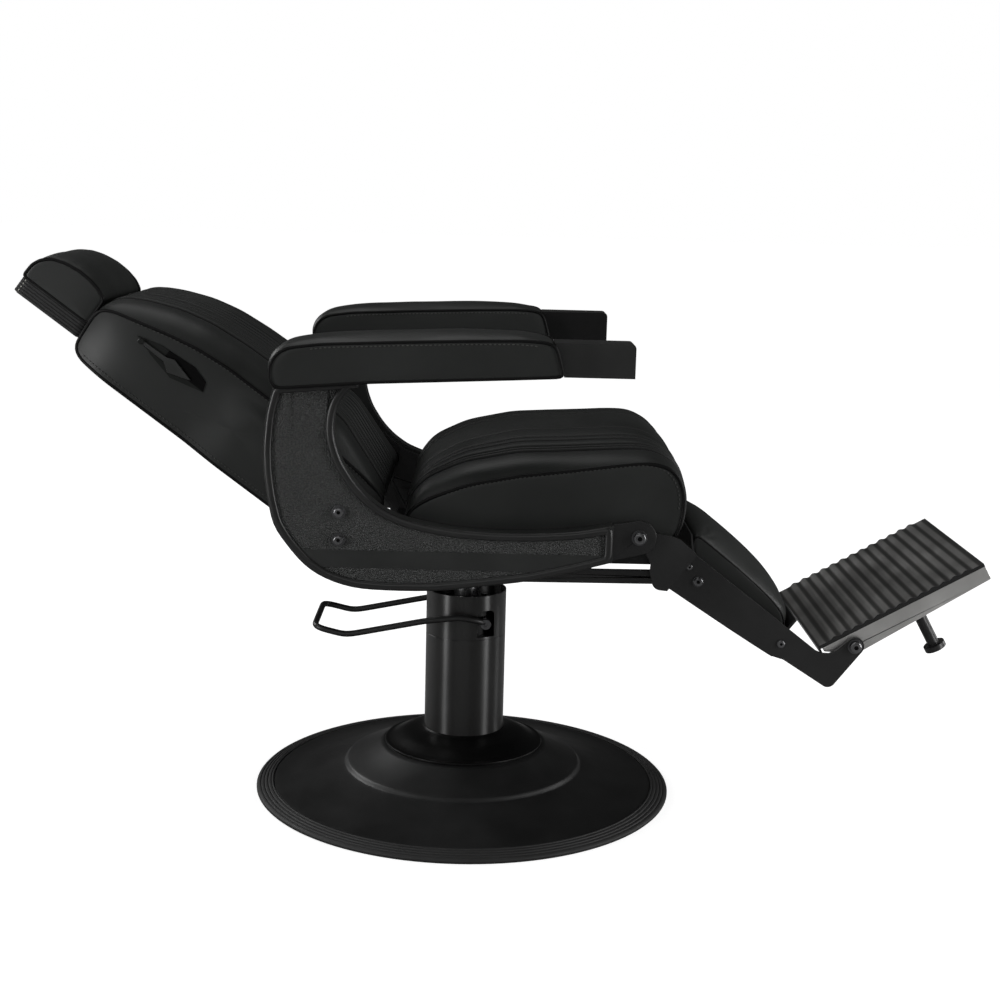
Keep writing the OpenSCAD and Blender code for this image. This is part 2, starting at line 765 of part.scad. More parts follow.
module swivel_hub() {
  color(satin_black) difference() {
    union() {
      translate([0, 0, hub_mouth]) cylinder(r = hub_r, h = hub_h);
      translate([-hub_plate_run / 2, tube_w - rail_out, hub_plate_z])
        cube([hub_plate_run, 2 * (rail_out - tube_w), hub_plate_t]);
    }
    translate([0, 0, hub_mouth - cut])
      cylinder(r = ram_r + shaft_fit, h = ram_top + thrust_t - hub_mouth + cut);
  }
}

module thrust_pad() {
  color("tan") translate([0, 0, ram_top]) cylinder(r = ram_r - play, h = thrust_t);
}

module square_tube(l) {
  difference() {
    cube([l, tube_w, tube_w]);
    translate([-cut, tube_wall, tube_wall])
      cube([l + 2 * cut, tube_w - 2 * tube_wall, tube_w - 2 * tube_wall]);
  }
}

module chassis_rails() {
  color(satin_black) both() {
    translate([tube_w - rear_tube_x, rail_out - tube_w, chassis_z])
      square_tube(front_tube_x - 2 * tube_w + rear_tube_x);
    translate([front_tube_x, rail_out - tube_w, chassis_z]) square_tube(rail_front - front_tube_x);
  }
}

module chassis_cross_tubes() {
  lug_in = lock_y + lock_r + play;
  color(satin_black) {
    for (x = [-rear_tube_x, front_tube_x - tube_w])
      translate([x + tube_w, -y_plate, chassis_z]) rotate([0, 0, 90]) square_tube(2 * y_plate);
    slab(lug_in, lug_in + lock_lug_t) {
      translate([lock_x, lock_z]) circle(r = lock_eye_r);
      polygon([[lock_x + lock_eye_r, lock_z], [front_tube_x, chassis_z],
        [front_tube_x - tube_w, chassis_z], [lock_x - lock_eye_r, lock_z]]);
    }
    rod_y(lock_x, lock_z, lock_pin_r, lock_y - lock_t / 2 - play, lug_in + play);
  }
}

function side_plate_outline() = concat(
  arc_line([front_pivot_x, front_pivot_z], tab_r, -75, 95, 16),
  scaled(plate_shares, rear_pivot_x, rear_pivot_z, pivot_gap, pivot_gap));

module side_plate() {
  color(satin_black) difference() {
    slab(y_plate, y_frame) polygon(side_plate_outline());
    rod_y(front_pivot_x, front_pivot_z, front_bolt_r + shaft_fit, y_plate - cut, y_frame + cut);
    frame_bolt_places(y_plate - cut, y_frame + cut, frame_bolt_r + hole_fit);
  }
}

module frame_bolt_places(y0, y1, r) {
  for (i = [0, 1])
    rod_y(rear_pivot_x - frame_bolt_back, rear_pivot_z + frame_bolt_up - i * frame_bolt_pitch, r, y0, y1);
}

frame_outer = smooth(scaled(frame_outer_shares, -frame_rear, frame_low, frame_l, frame_h), 3);
frame_inner = smooth(scaled(frame_inner_shares, -frame_rear, frame_low, frame_l, frame_h), 3);

module frame_panel_outline() {
  intersection() {
    polygon(concat(shifted(frame_outer, bead_w), shifted(frame_inner, bead_w)));
    translate([-2 * frame_l, 0]) square([2 * frame_l + frame_front - bead_w, 4 * frame_h]);
  }
}

module side_frame() {
  floor_y = y_face - panel_depth;
  band_z = frame_low + band_low_share * frame_h;
  band_h = (band_high_share - band_low_share) * frame_h;
  color(satin_black) difference() {
    union() {
      difference() {
        slab(y_frame, y_face) polygon(concat(frame_outer, frame_inner));
        slab(floor_y, y_face + cut) frame_panel_outline();
      }
      slab(floor_y - cut, floor_y + band_height_share * panel_depth) intersection() {
        frame_panel_outline();
        translate([-2 * frame_rear, band_z]) square([2 * frame_l, band_h]);
      }
      slab(y_frame, y_face)
        translate([tenon_in - frame_rear + bead_w, frame_low + frame_h / 2]) frame_tenon();
    }
    frame_bolt_places(y_frame - cut, y_face + cut, frame_bolt_r + hole_fit);
  }
}

// The neck's tongue, which carries the arm rail inside the pad
module frame_tenon() {
  translate([bead_w, frame_h / 4]) square([tenon_l, arm_bar_z - frame_low - 3 * frame_h / 4]);
}

module side_frame_bolts() {
  floor_y = y_face - panel_depth;
  color(bolt_black) both() {
    frame_bolt_places(y_plate, floor_y, frame_bolt_r);
    frame_bolt_places(floor_y, floor_y + frame_washer_t, frame_washer_r);
    for (i = [0, 1])
      button_head(rear_pivot_x - frame_bolt_back, rear_pivot_z + frame_bolt_up - i * frame_bolt_pitch,
        frame_head_r, frame_head_h, floor_y + frame_washer_t);
  }
}

module back_pivot_pins() {
  color(inner_steel) both() {
    rod_y(rear_pivot_x, rear_pivot_z, pivot_r, y_hinge + play, y_hinge + hinge_t + boss_gap);
    rod_y(rear_pivot_x, rear_pivot_z, boss_r, y_hinge + hinge_t + boss_gap, y_plate);
  }
}

module front_pivot_bolts() {
  color(bolt_black) both() {
    rod_y(front_pivot_x, front_pivot_z, front_bolt_r, y_bracket, y_frame);
    rod_y(front_pivot_x, front_pivot_z, washer_r, y_plate - washer_t + hole_fit, y_plate);
    rod_y(front_pivot_x, front_pivot_z, washer_r, y_frame, y_frame + frame_washer_t);
    button_head(front_pivot_x, front_pivot_z, bolt_head_r, bolt_head_h, y_frame + frame_washer_t);
  }
}

module seat_board() {
  l = seat_cushion_l - 1.5 * board_inset;
  color(board_wood) translate([board_inset - seat_rear, board_inset - seat_w / 2, board_z])
    cube([l - board_inset, seat_w - 2 * board_inset, seat_board_t]);
}

module seat_cushion() {
  color(leather_black) padded(
    padded_outline(seat_shares, -seat_rear, seat_base, seat_cushion_l, seat_cushion_h),
    seat_w / 2, seat_crown, full_crown, seat_edge_r, channel_lines(seat_w * seat_channel_span_share),
    channel_w, channel_depth, side_draw);
}

// Arms

module arm_rail() {
  half = arm_w / 2;
  front = pad_front_x + arm_end_l;
  rear = pad_front_x - arm_slant;
  color(satin_black) translate([0, y_arm, 0]) {
    difference() {
      slab(-half, half) polygon(concat(
        [[pad_front_x + arm_gap, arm_end_z], [front, arm_end_z]],
        arc_line([front - 2 * arm_wall, arm_end_z + arm_end_h - 2 * arm_wall], 2 * arm_wall, 0, 90, 6),
        [[rear + arm_gap, arm_end_z + arm_end_h]]));
      translate([rear - arm_end_l, arm_wall - half, arm_end_z - cut])
        cube([2 * arm_end_l + arm_slant - arm_wall, arm_w - 2 * arm_wall, arm_end_h + cut - arm_wall]);
    }
    translate([tenon_in - frame_rear, arm_wall - half, arm_bar_z])
      cube([front + frame_rear - tenon_in - 2 * arm_wall, arm_w - 2 * arm_wall, arm_bar_t]);
  }
}

module arm_pad() {
  slot = arm_w / 2 - arm_wall + soft_fit;
  slot_rear = tenon_in - frame_rear - soft_fit;
  neck_top = frame_low + frame_h + soft_fit;
  color(leather_black) difference() {
    translate([0, y_arm, 0]) padded(
      padded_outline(arm_pad_shares, -pad_rear, pad_low, arm_pad_l, arm_pad_h),
      arm_pad_w / 2, arm_crown, soft_crown, arm_crown * 2, [0], arm_pad_w / 4, 0, side_draw);
    translate([slot_rear, y_arm - slot, pad_low - cut])
      cube([arm_pad_l, 2 * slot + cut, arm_bar_z + arm_bar_t - pad_low + cut + soft_fit]);
    translate([-frame_rear - cut, y_arm - slot, pad_low - cut])
      cube([arm_pad_l / 2, 2 * slot + cut, neck_top - pad_low + cut]);
  }
}

// Back

module back_hinge() {
  crank = to_back(crank_reach, -crank_drop);
  color(satin_black) on_back() difference() {
    slab(y_hinge, y_hinge + hinge_t) {
      strip([0, 0], crank, crank_end_r);
      circle(r = pivot_r + boss_r);
      translate([strap_in, 0]) square([strap_w, strap_l]);
      translate([strap_in, 0]) square([-strap_in, boss_r]);
    }
    rod_y(0, 0, pivot_r + shaft_fit, y_hinge - cut, y_hinge + hinge_t + cut);
    rod_y(crank[0], crank[1], crank_pin_r + shaft_fit, y_hinge - cut, y_hinge + hinge_t + cut);
    screw_places(y_hinge - cut, y_hinge + hinge_t + cut, screw_r + hole_fit);
  }
}

module screw_places(y0, y1, r) {
  for (s = screw_shares) rod_y(core_front - core_t / 2, s * back_l, r, y0, y1);
}

module back_core() {
  half = back_w / 2 + hinge_gap - soft_fit;
  color(board_wood) on_back() difference() {
    translate([core_front - core_t, -half, -back_foot]) cube([core_t, 2 * half, back_l - core_gap]);
    both() screw_places(half - screw_l, half + cut, screw_r + shaft_fit);
    for (y = [-post_pitch / 2, post_pitch / 2])
      translate([post_x, y, back_l - back_foot - post_in - head_gap])
        cylinder(r = guide_r + shaft_fit, h = back_l);
  }
}

module back_cushion() {
  color(leather_black) on_back() padded(
    padded_outline(back_shares, core_front, -back_foot, back_cushion_t, back_l),
    back_w / 2, back_crown, full_crown, back_edge_r, channel_lines(back_w * back_channel_span_share),
    channel_w, channel_depth, side_draw);
}

module back_panel() {
  half = back_w / 2;
  r = 2 * rear_panel_t;
  color(leather_black) on_back()
    translate([core_front - core_t, 0, 0]) rotate([0, -90, 0]) linear_extrude(rear_panel_t) polygon(concat(
      [[-back_foot, -half], [-back_foot, half]],
      arc_line([back_l - back_foot - r, half - r], r, 90, 0, 6),
      arc_line([back_l - back_foot - r, r - half], r, 0, -90, 6)));
}

module crank_tie_bar() {
  color(satin_black) {
    rod_y(crank_x, crank_z, crank_pin_r, -y_link - link_t - 2 * play, y_link + link_t + 2 * play);
    rod_y(crank_x, crank_z, tie_r, -y_hinge, y_hinge);
  }
}

module headrest_guides() {
  top = back_l - back_foot - core_gap;
  color(inner_steel) on_back() for (y = [-post_pitch / 2, post_pitch / 2]) translate([post_x, y, 0])
    difference() {
      union() {
        translate([0, 0, top - guide_l]) cylinder(r = guide_r, h = guide_l);
        translate([0, 0, top]) cylinder(r = guide_flange_r, h = guide_flange_t);
      }
      translate([0, 0, top - guide_l - cut]) cylinder(r = post_r + shaft_fit, h = 2 * guide_l);
    }
}

module paddle_bezel() {
  y = back_w / 2 + soft_fit;
  pin = paddle_pin_shares * back_l;
  color(satin_black) on_back() right() {
    slab(y, y + bezel_t) polygon(scaled(bezel_shares, 0, 0, back_l, back_l));
    rod_y(pin[0], pin[1], paddle_pin_r, y + bezel_t, y + bezel_t + 2 * paddle_gap + paddle_t);
    rod_y(pin[0], pin[1], paddle_head_r, y + bezel_t + 2 * paddle_gap + paddle_t,
      y + bezel_t + 2 * paddle_gap + paddle_t + paddle_head_h);
  }
}

module recline_paddle() {
  y = back_w / 2 + soft_fit + bezel_t + paddle_gap;
  pin = paddle_pin_shares * back_l;
  color(satin_black) on_back() right() difference() {
    slab(y, y + paddle_t) polygon(scaled(paddle_shares, 0, 0, back_l, back_l));
    rod_y(pin[0], pin[1], paddle_pin_r + shaft_fit, y - cut, y + paddle_t + cut);
  }
}

module hinge_screws() {
  head = y_hinge + hinge_t;
  color(bolt_black) on_back() both() {
    screw_places(head - screw_l, head, screw_r);
    for (s = screw_shares) button_head(core_front - core_t / 2, s * back_l, screw_head_r, screw_head_h, head);
  }
}

// Headrest

head_foot = back_l - back_foot + head_gap;

module headrest_posts() {
  color(inner_steel) on_back() for (y = [-post_pitch / 2, post_pitch / 2])
    translate([post_x, y, head_foot - post_in]) cylinder(r = post_r, h = post_in + post_out);
}

module headrest_board() {
  half = head_w / 2 - 2 * side_draw;
  color(board_wood) on_back() difference() {
    translate([head_front - head_board_t, -half, head_foot])
      cube([head_board_t, 2 * half, head_l - 2 * side_draw]);
    for (y = [-post_pitch / 2, post_pitch / 2]) translate([post_x, y, head_foot - cut])
      cylinder(r = post_r + shaft_fit, h = post_out + cut);
  }
}

module headrest_cushion() {
  color(leather_black) on_back() padded(
    padded_outline(head_shares, head_front, head_foot, head_cushion_t, head_l),
    head_w / 2, head_crown, soft_crown, head_edge_r, [0], head_w / 4, 0, side_draw);
}

// Recline links and lock

module link_bar() {
  bracket_x = front_pivot_x + crank_reach;
  bracket_z = front_pivot_z - crank_drop;
  run = norm([bracket_x - crank_x, bracket_z - crank_z]);
  color(satin_black) difference() {
    slab(y_link, y_link + link_t) {
      translate([crank_x, crank_z]) circle(r = crank_end_r);
      translate([bracket_x, bracket_z]) circle(r = link_end_r);
      translate([crank_x, crank_z]) rotate(atan2(bracket_z - crank_z, bracket_x - crank_x))
        translate([0, -link_h / 2]) square([run, link_h]);
    }
    rod_y(crank_x, crank_z, crank_pin_r + shaft_fit, y_link - cut, y_link + link_t + cut);
    rod_y(bracket_x, bracket_z, crank_pin_r + open_fit, y_link - cut, y_link + link_t + cut);
  }
}

module lock_line() {
  translate([lock_x, lock_y, lock_z]) rotate([0, -lock_tilt, 0]) children();
}

module lock_cylinder() {
  color(inner_steel) lock_line() difference() {
    union() {
      translate([-lock_neck, 0, 0]) rotate([0, -90, 0]) cylinder(r = lock_r, h = lock_l);
      rod_y(0, 0, lock_eye_r, -lock_t / 2, lock_t / 2);
      translate([-lock_neck, -lock_t / 2, -lock_eye_r / 2]) cube([lock_neck, lock_t, lock_eye_r]);
    }
    translate([-lock_neck - lock_l - cut, 0, 0]) rotate([0, 90, 0])
      cylinder(r = rod_r + shaft_fit, h = lock_l - lock_neck + cut);
    rod_y(0, 0, lock_pin_r + shaft_fit, -lock_t / 2 - cut, lock_t / 2 + cut);
  }
}

module lock_rod() {
  hole = tie_r + rod_eye_fit;
  color(inner_steel) lock_line() difference() {
    union() {
      translate([-lock_span, 0, 0]) rotate([0, 90, 0])
        cylinder(r = rod_r, h = lock_span - lock_neck - lock_l + rod_in);
      rod_y(-lock_span, 0, rod_eye_r, -lock_t / 2, lock_t / 2);
    }
    rod_y(-lock_span, 0, hole, -lock_t / 2 - cut, lock_t / 2 + cut);
  }
}

// Legrest

crank_in_leg = to_legrest(crank_reach, -crank_drop);

module legrest_bracket() {
  low = scaled(bracket_low_shares, 0, 0, web_x, web_x);
  high = scaled(bracket_high_shares, 0, 0, web_x, web_x);
  color(satin_black) on_legrest() difference() {
    union() {
      slab(y_bracket, y_bracket + bracket_t) {
        polygon(concat(arc_line([0, 0], bracket_r, 45, 320, 16), low,
          arc_line(crank_in_leg, crank_end_r, 215, 300, 6), [[web_x, -web_low - bracket_t]], high));
      }
      rod_y(crank_in_leg[0], crank_in_leg[1], crank_pin_r, y_link - 2 * play, y_bracket);
    }
    rod_y(0, 0, front_bolt_r + shaft_fit, y_bracket - cut, y_bracket + bracket_t + cut);
  }
}

module legrest_cross_plate() {
  ear_low = main_bolt_z + 4 * leg_bolt_r;
  web_edge = [[y_bracket, web_high], [web_rise_shares[0] * y_bracket, web_high],
    [web_rise_shares[1] * y_bracket, web_top]];
  color(satin_black) on_legrest() difference() {
    union() {
      translate([web_x - web_t, 0, 0]) rotate([90, 0, 90]) linear_extrude(web_t) polygon(concat(
        [[-y_bracket, -web_low], [y_bracket, -web_low]], web_edge,
        [for (i = [len(web_edge) - 1 : -1 : 0]) [-web_edge[i][0], web_edge[i][1]]]));
      both() translate([web_x - web_t, y_leg - ear_t, -ear_low]) cube([ear_l, ear_t, ear_low + ear_high]);
    }
    both() leg_bolt_holes(y_leg - ear_t - cut, y_leg + cut);
    for (y = [cross_hole_inset - y_bracket, y_bracket - cross_hole_inset])
      translate([web_x - 2 * web_t, y, cross_hole_z]) rotate([0, 90, 0])
        cylinder(r = cross_hole_r, h = 4 * web_t);
  }
}

module leg_bolt_holes(y0, y1) {
  rod_y(upper_bolt_x, upper_bolt_z, small_bolt_r + hole_fit, y0, y1);
  rod_y(main_bolt_x, -main_bolt_z, leg_bolt_r + hole_fit, y0, y1);
}

module legrest_arm() {
  low = smooth(scaled(arm_low_shares, 0, 0, leg_reach, leg_reach), 2);
  high = scaled(arm_high_shares, 0, 0, leg_reach, leg_reach);
  hinge = [leg_reach, leg_hook];
  heel = [leg_reach + hook_r - foot_corner_r, -foot_corner_z];
  color(satin_black) on_legrest() difference() {
    slab(y_leg, y_leg + leg_arm_t) polygon(concat(high, arc_line(hinge, hook_r, 175, 0, 14),
      arc_line(heel, foot_corner_r, 0, -80, 8), low));
    leg_bolt_holes(y_leg - cut, y_leg + leg_arm_t + cut);
    rod_y(tie_bar_x, tie_bar_z, leg_bolt_r + hole_fit, y_leg - cut, y_leg + leg_arm_t + cut);
    rod_y(hinge[0], hinge[1], front_bolt_r + shaft_fit, y_leg - cut, y_leg + leg_arm_t + cut);
  }
}

module legrest_tie_bar() {
  color(satin_black) on_legrest() rod_y(tie_bar_x, tie_bar_z, tie_bar_r, -y_leg, y_leg);
}

module calf_board() {
  half = y_leg - calf_board_gap;
  color(satin_black) on_legrest() {
    translate([web_x, -half, calf_z]) cube([calf_end - web_x, 2 * half, calf_board_t]);
    translate([calf_end - calf_lip_t, -half, calf_z])
      cube([calf_lip_t, 2 * half, calf_board_t + calf_lip_h]);
  }
}

module calf_cushion() {
  across = y_leg - calf_gap;
  color(leather_black) on_legrest() padded(
    padded_outline(calf_shares, calf_start, calf_z + calf_board_t, calf_pad_l, calf_pad_t),
    y_leg - calf_gap, calf_crown, soft_crown, calf_edge_r, [-across / 2, 0, across / 2], across / 4, 0,
    side_draw);
}

module legrest_bolts() {
  in = y_leg - ear_t;
  out = y_leg + leg_arm_t;
  color(bolt_black) on_legrest() both() {
    rod_y(upper_bolt_x, upper_bolt_z, small_bolt_r, in, out);
    button_head(upper_bolt_x, upper_bolt_z, 1.5 * small_bolt_r, small_bolt_r / 2, out);
    rod_y(main_bolt_x, -main_bolt_z, leg_bolt_r, in, out);
    button_head(main_bolt_x, -main_bolt_z, 2 * leg_bolt_r, leg_bolt_r / 2, out);
    rod_y(tie_bar_x, tie_bar_z, leg_bolt_r, y_leg, out);
    button_head(tie_bar_x, tie_bar_z, 1.5 * leg_bolt_r, leg_bolt_r / 2, out);
  }
}

module footplate_hinge_bolts() {
  out = y_leg + leg_arm_t;
  color(bolt_black) on_legrest() both() {
    rod_y(leg_reach, leg_hook, front_bolt_r, y_leg - leg_gap - cheek_t, out);
    rod_y(leg_reach, leg_hook, washer_r, out, out + frame_washer_t);
    button_head(leg_reach, leg_hook, frame_head_r, frame_head_h, out + frame_washer_t);
  }
}

// Footplate

foot_out = foot_l - foot_in;

module footplate_deck() {
  half = foot_w / 2;
  top = foot_rise - rib_h;
  run = (foot_l - 2 * rib_flat) / deck_ribs;
  ribs = [for (i = [0 : deck_ribs * rib_steps]) [rib_flat - foot_in + i * run / rib_steps,
    top + rib_h / 2 * (1 - cos(360 * i / rib_steps))]];
  color(deck_grey) on_footplate() slab(-half, half) polygon(concat(
    [[foot_out, top - deck_t], [deck_lip_t - foot_in, top - deck_t],
      [deck_lip_t - foot_in, top - deck_t - deck_lip_h], [-foot_in, top - deck_t - deck_lip_h],
      [-foot_in, top]], ribs, [[foot_out, top]]));
}

module footplate_cheek() {
  half = foot_w / 2;
  under = foot_rise - rib_h - deck_t;
  color(deck_grey) on_footplate() difference() {
    slab(half - cheek_t, half) polygon(concat([[foot_out, under], [-foot_in + cheek_t, under],
      [-foot_in + cheek_t, under - cheek_t]], arc_line([0, 0], cheek_low_in, 215, 275, 6),
      [[foot_out, -cheek_low_out]]));
    rod_y(0, 0, front_bolt_r + shaft_fit, half - cheek_t - cut, half + cut);
  }
}

module footplate_bumpers() {
  under = foot_rise - rib_h - deck_t;
  color(satin_black) on_footplate() for (y = [-bumper_y, bumper_y]) translate([bumper_x, y, 0]) {
    translate([0, 0, under - bumper_h]) cylinder(r = bumper_r, h = bumper_h);
    translate([0, 0, under - bumper_h]) cylinder(r = bumper_flange_r, h = bumper_flange_t);
  }
}

base_plate();
base_cover();
base_rim_ring();
column_trim_disc();
column_cover();
pump_sleeve();
pump_body();
pump_foot_bolts();
lever_bar();
lever_shaft();
lever_bolts();
ram_piston();
swivel_hub();
thrust_pad();
chassis_rails();
chassis_cross_tubes();
right() side_plate();  // side_plate_right
side_plate();  // side_plate_left
right() side_frame();  // side_frame_right
side_frame();  // side_frame_left
side_frame_bolts();
back_pivot_pins();
front_pivot_bolts();
seat_board();
seat_cushion();
right() arm_rail();  // arm_rail_right
arm_rail();  // arm_rail_left
right() arm_pad();  // arm_pad_right
arm_pad();  // arm_pad_left
right() back_hinge();  // back_hinge_right
back_hinge();  // back_hinge_left
back_core();
back_cushion();
back_panel();
crank_tie_bar();
headrest_guides();
paddle_bezel();
hinge_screws();
recline_paddle();
headrest_posts();
headrest_board();
headrest_cushion();
right() link_bar();  // link_bar_right
link_bar();  // link_bar_left
lock_cylinder();
lock_rod();
right() legrest_bracket();  // legrest_bracket_right
legrest_bracket();  // legrest_bracket_left
legrest_cross_plate();
right() legrest_arm();  // legrest_arm_right
legrest_arm();  // legrest_arm_left
legrest_tie_bar();
calf_board();
calf_cushion();
legrest_bolts();
footplate_hinge_bolts();
footplate_deck();
right() footplate_cheek();  // footplate_cheek_right
footplate_cheek();  // footplate_cheek_left
footplate_bumpers();
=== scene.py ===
"""Barber chair: leather, stitching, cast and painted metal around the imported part."""
import json
import math

import bmesh
import bpy
from mathutils import Matrix, Vector, noise


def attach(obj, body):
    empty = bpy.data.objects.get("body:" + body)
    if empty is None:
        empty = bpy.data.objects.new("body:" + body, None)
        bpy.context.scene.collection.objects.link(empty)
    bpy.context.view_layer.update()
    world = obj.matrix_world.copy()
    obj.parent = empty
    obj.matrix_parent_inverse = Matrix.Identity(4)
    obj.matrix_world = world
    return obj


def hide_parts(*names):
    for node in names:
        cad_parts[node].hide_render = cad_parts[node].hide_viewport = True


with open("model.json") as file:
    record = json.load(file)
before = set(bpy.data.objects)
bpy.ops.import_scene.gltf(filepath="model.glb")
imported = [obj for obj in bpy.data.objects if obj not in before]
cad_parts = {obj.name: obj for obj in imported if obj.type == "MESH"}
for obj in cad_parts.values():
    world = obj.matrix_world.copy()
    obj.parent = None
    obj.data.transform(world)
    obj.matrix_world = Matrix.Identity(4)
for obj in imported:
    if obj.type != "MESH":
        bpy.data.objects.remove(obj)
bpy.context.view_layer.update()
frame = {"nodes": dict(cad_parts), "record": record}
mm = 0.001
# Where each part turns, as (x, z) in millimetres, and how it leans in the frame
back_pivot, back_lean = (-150, 468), math.radians(53.5)
legrest_pivot, legrest_drop = (243, 471), math.radians(37.4)
footplate_hinge, footplate_rise = (580.8, 291.3), math.radians(29.3)


# Places: each takes millimetres in its own piece's directions and gives a point of the frame in metres

def in_seat(x, y, z):
    return Vector((x, y, z)) * mm


def in_back(b, y, a):
    """b is out of the back's board, towards the sitter, and a is up along it."""
    c, s = math.cos(back_lean), math.sin(back_lean)
    return Vector((back_pivot[0] + b * c - a * s, y, back_pivot[1] + b * s + a * c)) * mm


def in_legrest(x, y, z):
    c, s = math.cos(legrest_drop), math.sin(legrest_drop)
    return Vector((legrest_pivot[0] + x * c + z * s, y, legrest_pivot[1] - x * s + z * c)) * mm


# Lines

def spread(line, count, closed, axes=2):
    """Evenly spaced points along a line; each point's further values are carried along."""
    line = [Vector(p) for p in line]
    if closed:
        line.append(line[0].copy())
    run = [0.0]
    for a, b in zip(line, line[1:]):
        run.append(run[-1] + math.dist(a[:axes], b[:axes]))
    steps = count if closed else count - 1
    out, k = [], 0
    for i in range(count):
        want = run[-1] * i / steps
        while k < len(run) - 2 and run[k + 1] < want:
            k += 1
        share = (want - run[k]) / max(run[k + 1] - run[k], 1e-9)
        out.append(line[k].lerp(line[k + 1], min(1, share)))
    return out


def soften(line, passes, closed=True):
    """Rounds a line's corners off; each pass draws every point towards its neighbours."""
    n = len(line)
    for _ in range(passes):
        line = [line[i] if not closed and i in (0, n - 1)
                else (line[i - 1] + line[i] * 2 + line[(i + 1) % n]) / 4 for i in range(n)]
    return line


def outward(line):
    """The direction out of a closed line at each of its points."""
    n = len(line)
    area = sum(line[i].x * line[(i + 1) % n].y - line[(i + 1) % n].x * line[i].y for i in range(n))
    side = 1 if area > 0 else -1
    out = []
    for i in range(n):
        t = line[(i + 1) % n] - line[i - 1]
        out.append(Vector((t.y, -t.x)).normalized() * side)
    return out


def scaled(shares, x0, z0, length, height):
    """Turns shares of a length and height into millimetres; further values stay as they are."""
    return [[x0 + length * p[0], z0 + height * p[1]] + list(p[2:]) for p in shares]


# Making pieces

def as_piece(name, bm, look, body, smooth=True):
    bmesh.ops.recalc_face_normals(bm, faces=bm.faces[:])
    mesh = bpy.data.meshes.new(name)
    bm.to_mesh(mesh)
    bm.free()
    for f in mesh.polygons:
        f.use_smooth = smooth
    obj = bpy.data.objects.new(name, mesh)
    bpy.context.scene.collection.objects.link(obj)
    mesh.materials.append(look)
    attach(obj, body)
    return obj


def drawn_through(bm, rings, joined=False, painted_seam_shades=None, still=None):
    """A skin drawn from ring to ring: the first ring is a circle, each next one is extruded from it.
    The seam shade painted into the colour (1 in the bottom of a seam) and still (1 where the skin is sewn down),
    each a list for each ring, are kept on the skin as its own layers."""
    layer = bm.verts.layers.float.new("seam") if painted_seam_shades else None
    sewn = bm.verts.layers.float.new("sewn") if still else None
    made = bmesh.ops.create_circle(bm, segments=len(rings[0]), radius=1)["verts"]
    row = sorted(made, key=lambda v: math.atan2(v.co.y, v.co.x))
    edges = list({e for v in row for e in v.link_edges})
    start = row
    for v, p in zip(row, rings[0]):
        v.co = p
        if sewn:
            v[sewn] = 1.0
    for k, ring in enumerate(rings[1:], 1):
        geom = bmesh.ops.extrude_edge_only(bm, edges=edges)["geom"]
        fresh = {g for g in geom if isinstance(g, bmesh.types.BMVert)}
        row = [next(e.other_vert(v) for e in v.link_edges if e.other_vert(v) in fresh) for v in row]
        edges = [g for g in geom if isinstance(g, bmesh.types.BMEdge)
                 and g.verts[0] in fresh and g.verts[1] in fresh]
        for i, (v, p) in enumerate(zip(row, ring)):
            v.co = p
            if layer:
                v[layer] = painted_seam_shades[k][i]
            if sewn:
                v[sewn] = still[k][i]
    if joined:
        bmesh.ops.remove_doubles(bm, verts=start + row, dist=1e-6)
    else:
        for loop, ring in ((start, rings[0]), (row, rings[-1])):
            bmesh.ops.pointmerge(bm, verts=loop, merge_co=sum(ring, Vector()) / len(ring))


def circle(count):
    return [2 * math.pi * k / count for k in range(count)]


def cord_rings(path, radius, closed, sides=10, flat=1.0, up=None):
    """Rings across a path of points in metres; the radius is in millimetres."""
    n = len(path)
    rings = []
    side = None
    for i in range(n):
        a = path[i - 1] if (closed or i > 0) else path[i]
        b = path[(i + 1) % n] if (closed or i < n - 1) else path[i]
        t = (b - a).normalized()
        ref = up or side or (Vector((0, 1, 0)) if abs(t.y) < 0.9 else Vector((1, 0, 0)))
        w = t.cross(ref).normalized()
        side = w.cross(t).normalized()
        rings.append([path[i] + (side * math.cos(q) * flat + w * math.sin(q)) * radius * mm
                      for q in circle(sides)])
    if closed:
        rings.append(list(rings[0]))
    return rings


def ring_piece(name, rings, look, body, joined=False, smooth=True):
    bm = bmesh.new()
    drawn_through(bm, rings, joined)
    return as_piece(name, bm, look, body, smooth)


def cord_piece(name, path, radius, closed, look, body, slot, **more):
    return ring_piece(name, cord_rings(path, radius, closed, **more), look, body, joined=closed)


def stitched(name, runs, look, body, pitch=6.0, length=4.0, thick=0.7, lift=0.3):
    """Threads laid along runs of (point, outward direction) pairs, in metres."""
    bm = bmesh.new()
    for run in runs:
        line = [p for p, _ in run]
        total = sum((b - a).length for a, b in zip(line, line[1:]))
        count = max(2, int(total / (pitch * mm)))
        pts = spread(line, count, False, axes=3)
        for i in range(count - 1):
            mid = pts[i].lerp(pts[i + 1], 0.5)
            t = (pts[i + 1] - pts[i]).normalized()
            k = min(range(len(line)), key=lambda j: (line[j] - mid).length_squared)
            out = (run[k][1] - t * run[k][1].dot(t)).normalized()
            side = t.cross(out)
            turn = Matrix((t, side, out)).transposed().to_4x4()
            size = Matrix.Diagonal((length / 2 * mm, thick * 1.2 * mm, thick * mm, 1))
            bmesh.ops.create_uvsphere(bm, u_segments=8, v_segments=5, radius=1,
                                      matrix=Matrix.Translation(mid + out * lift * mm) @ turn @ size)
    return as_piece(name, bm, look, body)


def sideways(y):
    """The direction out of a piece's side, right or left as y says."""
    return Vector((0, math.copysign(1, y), 0))


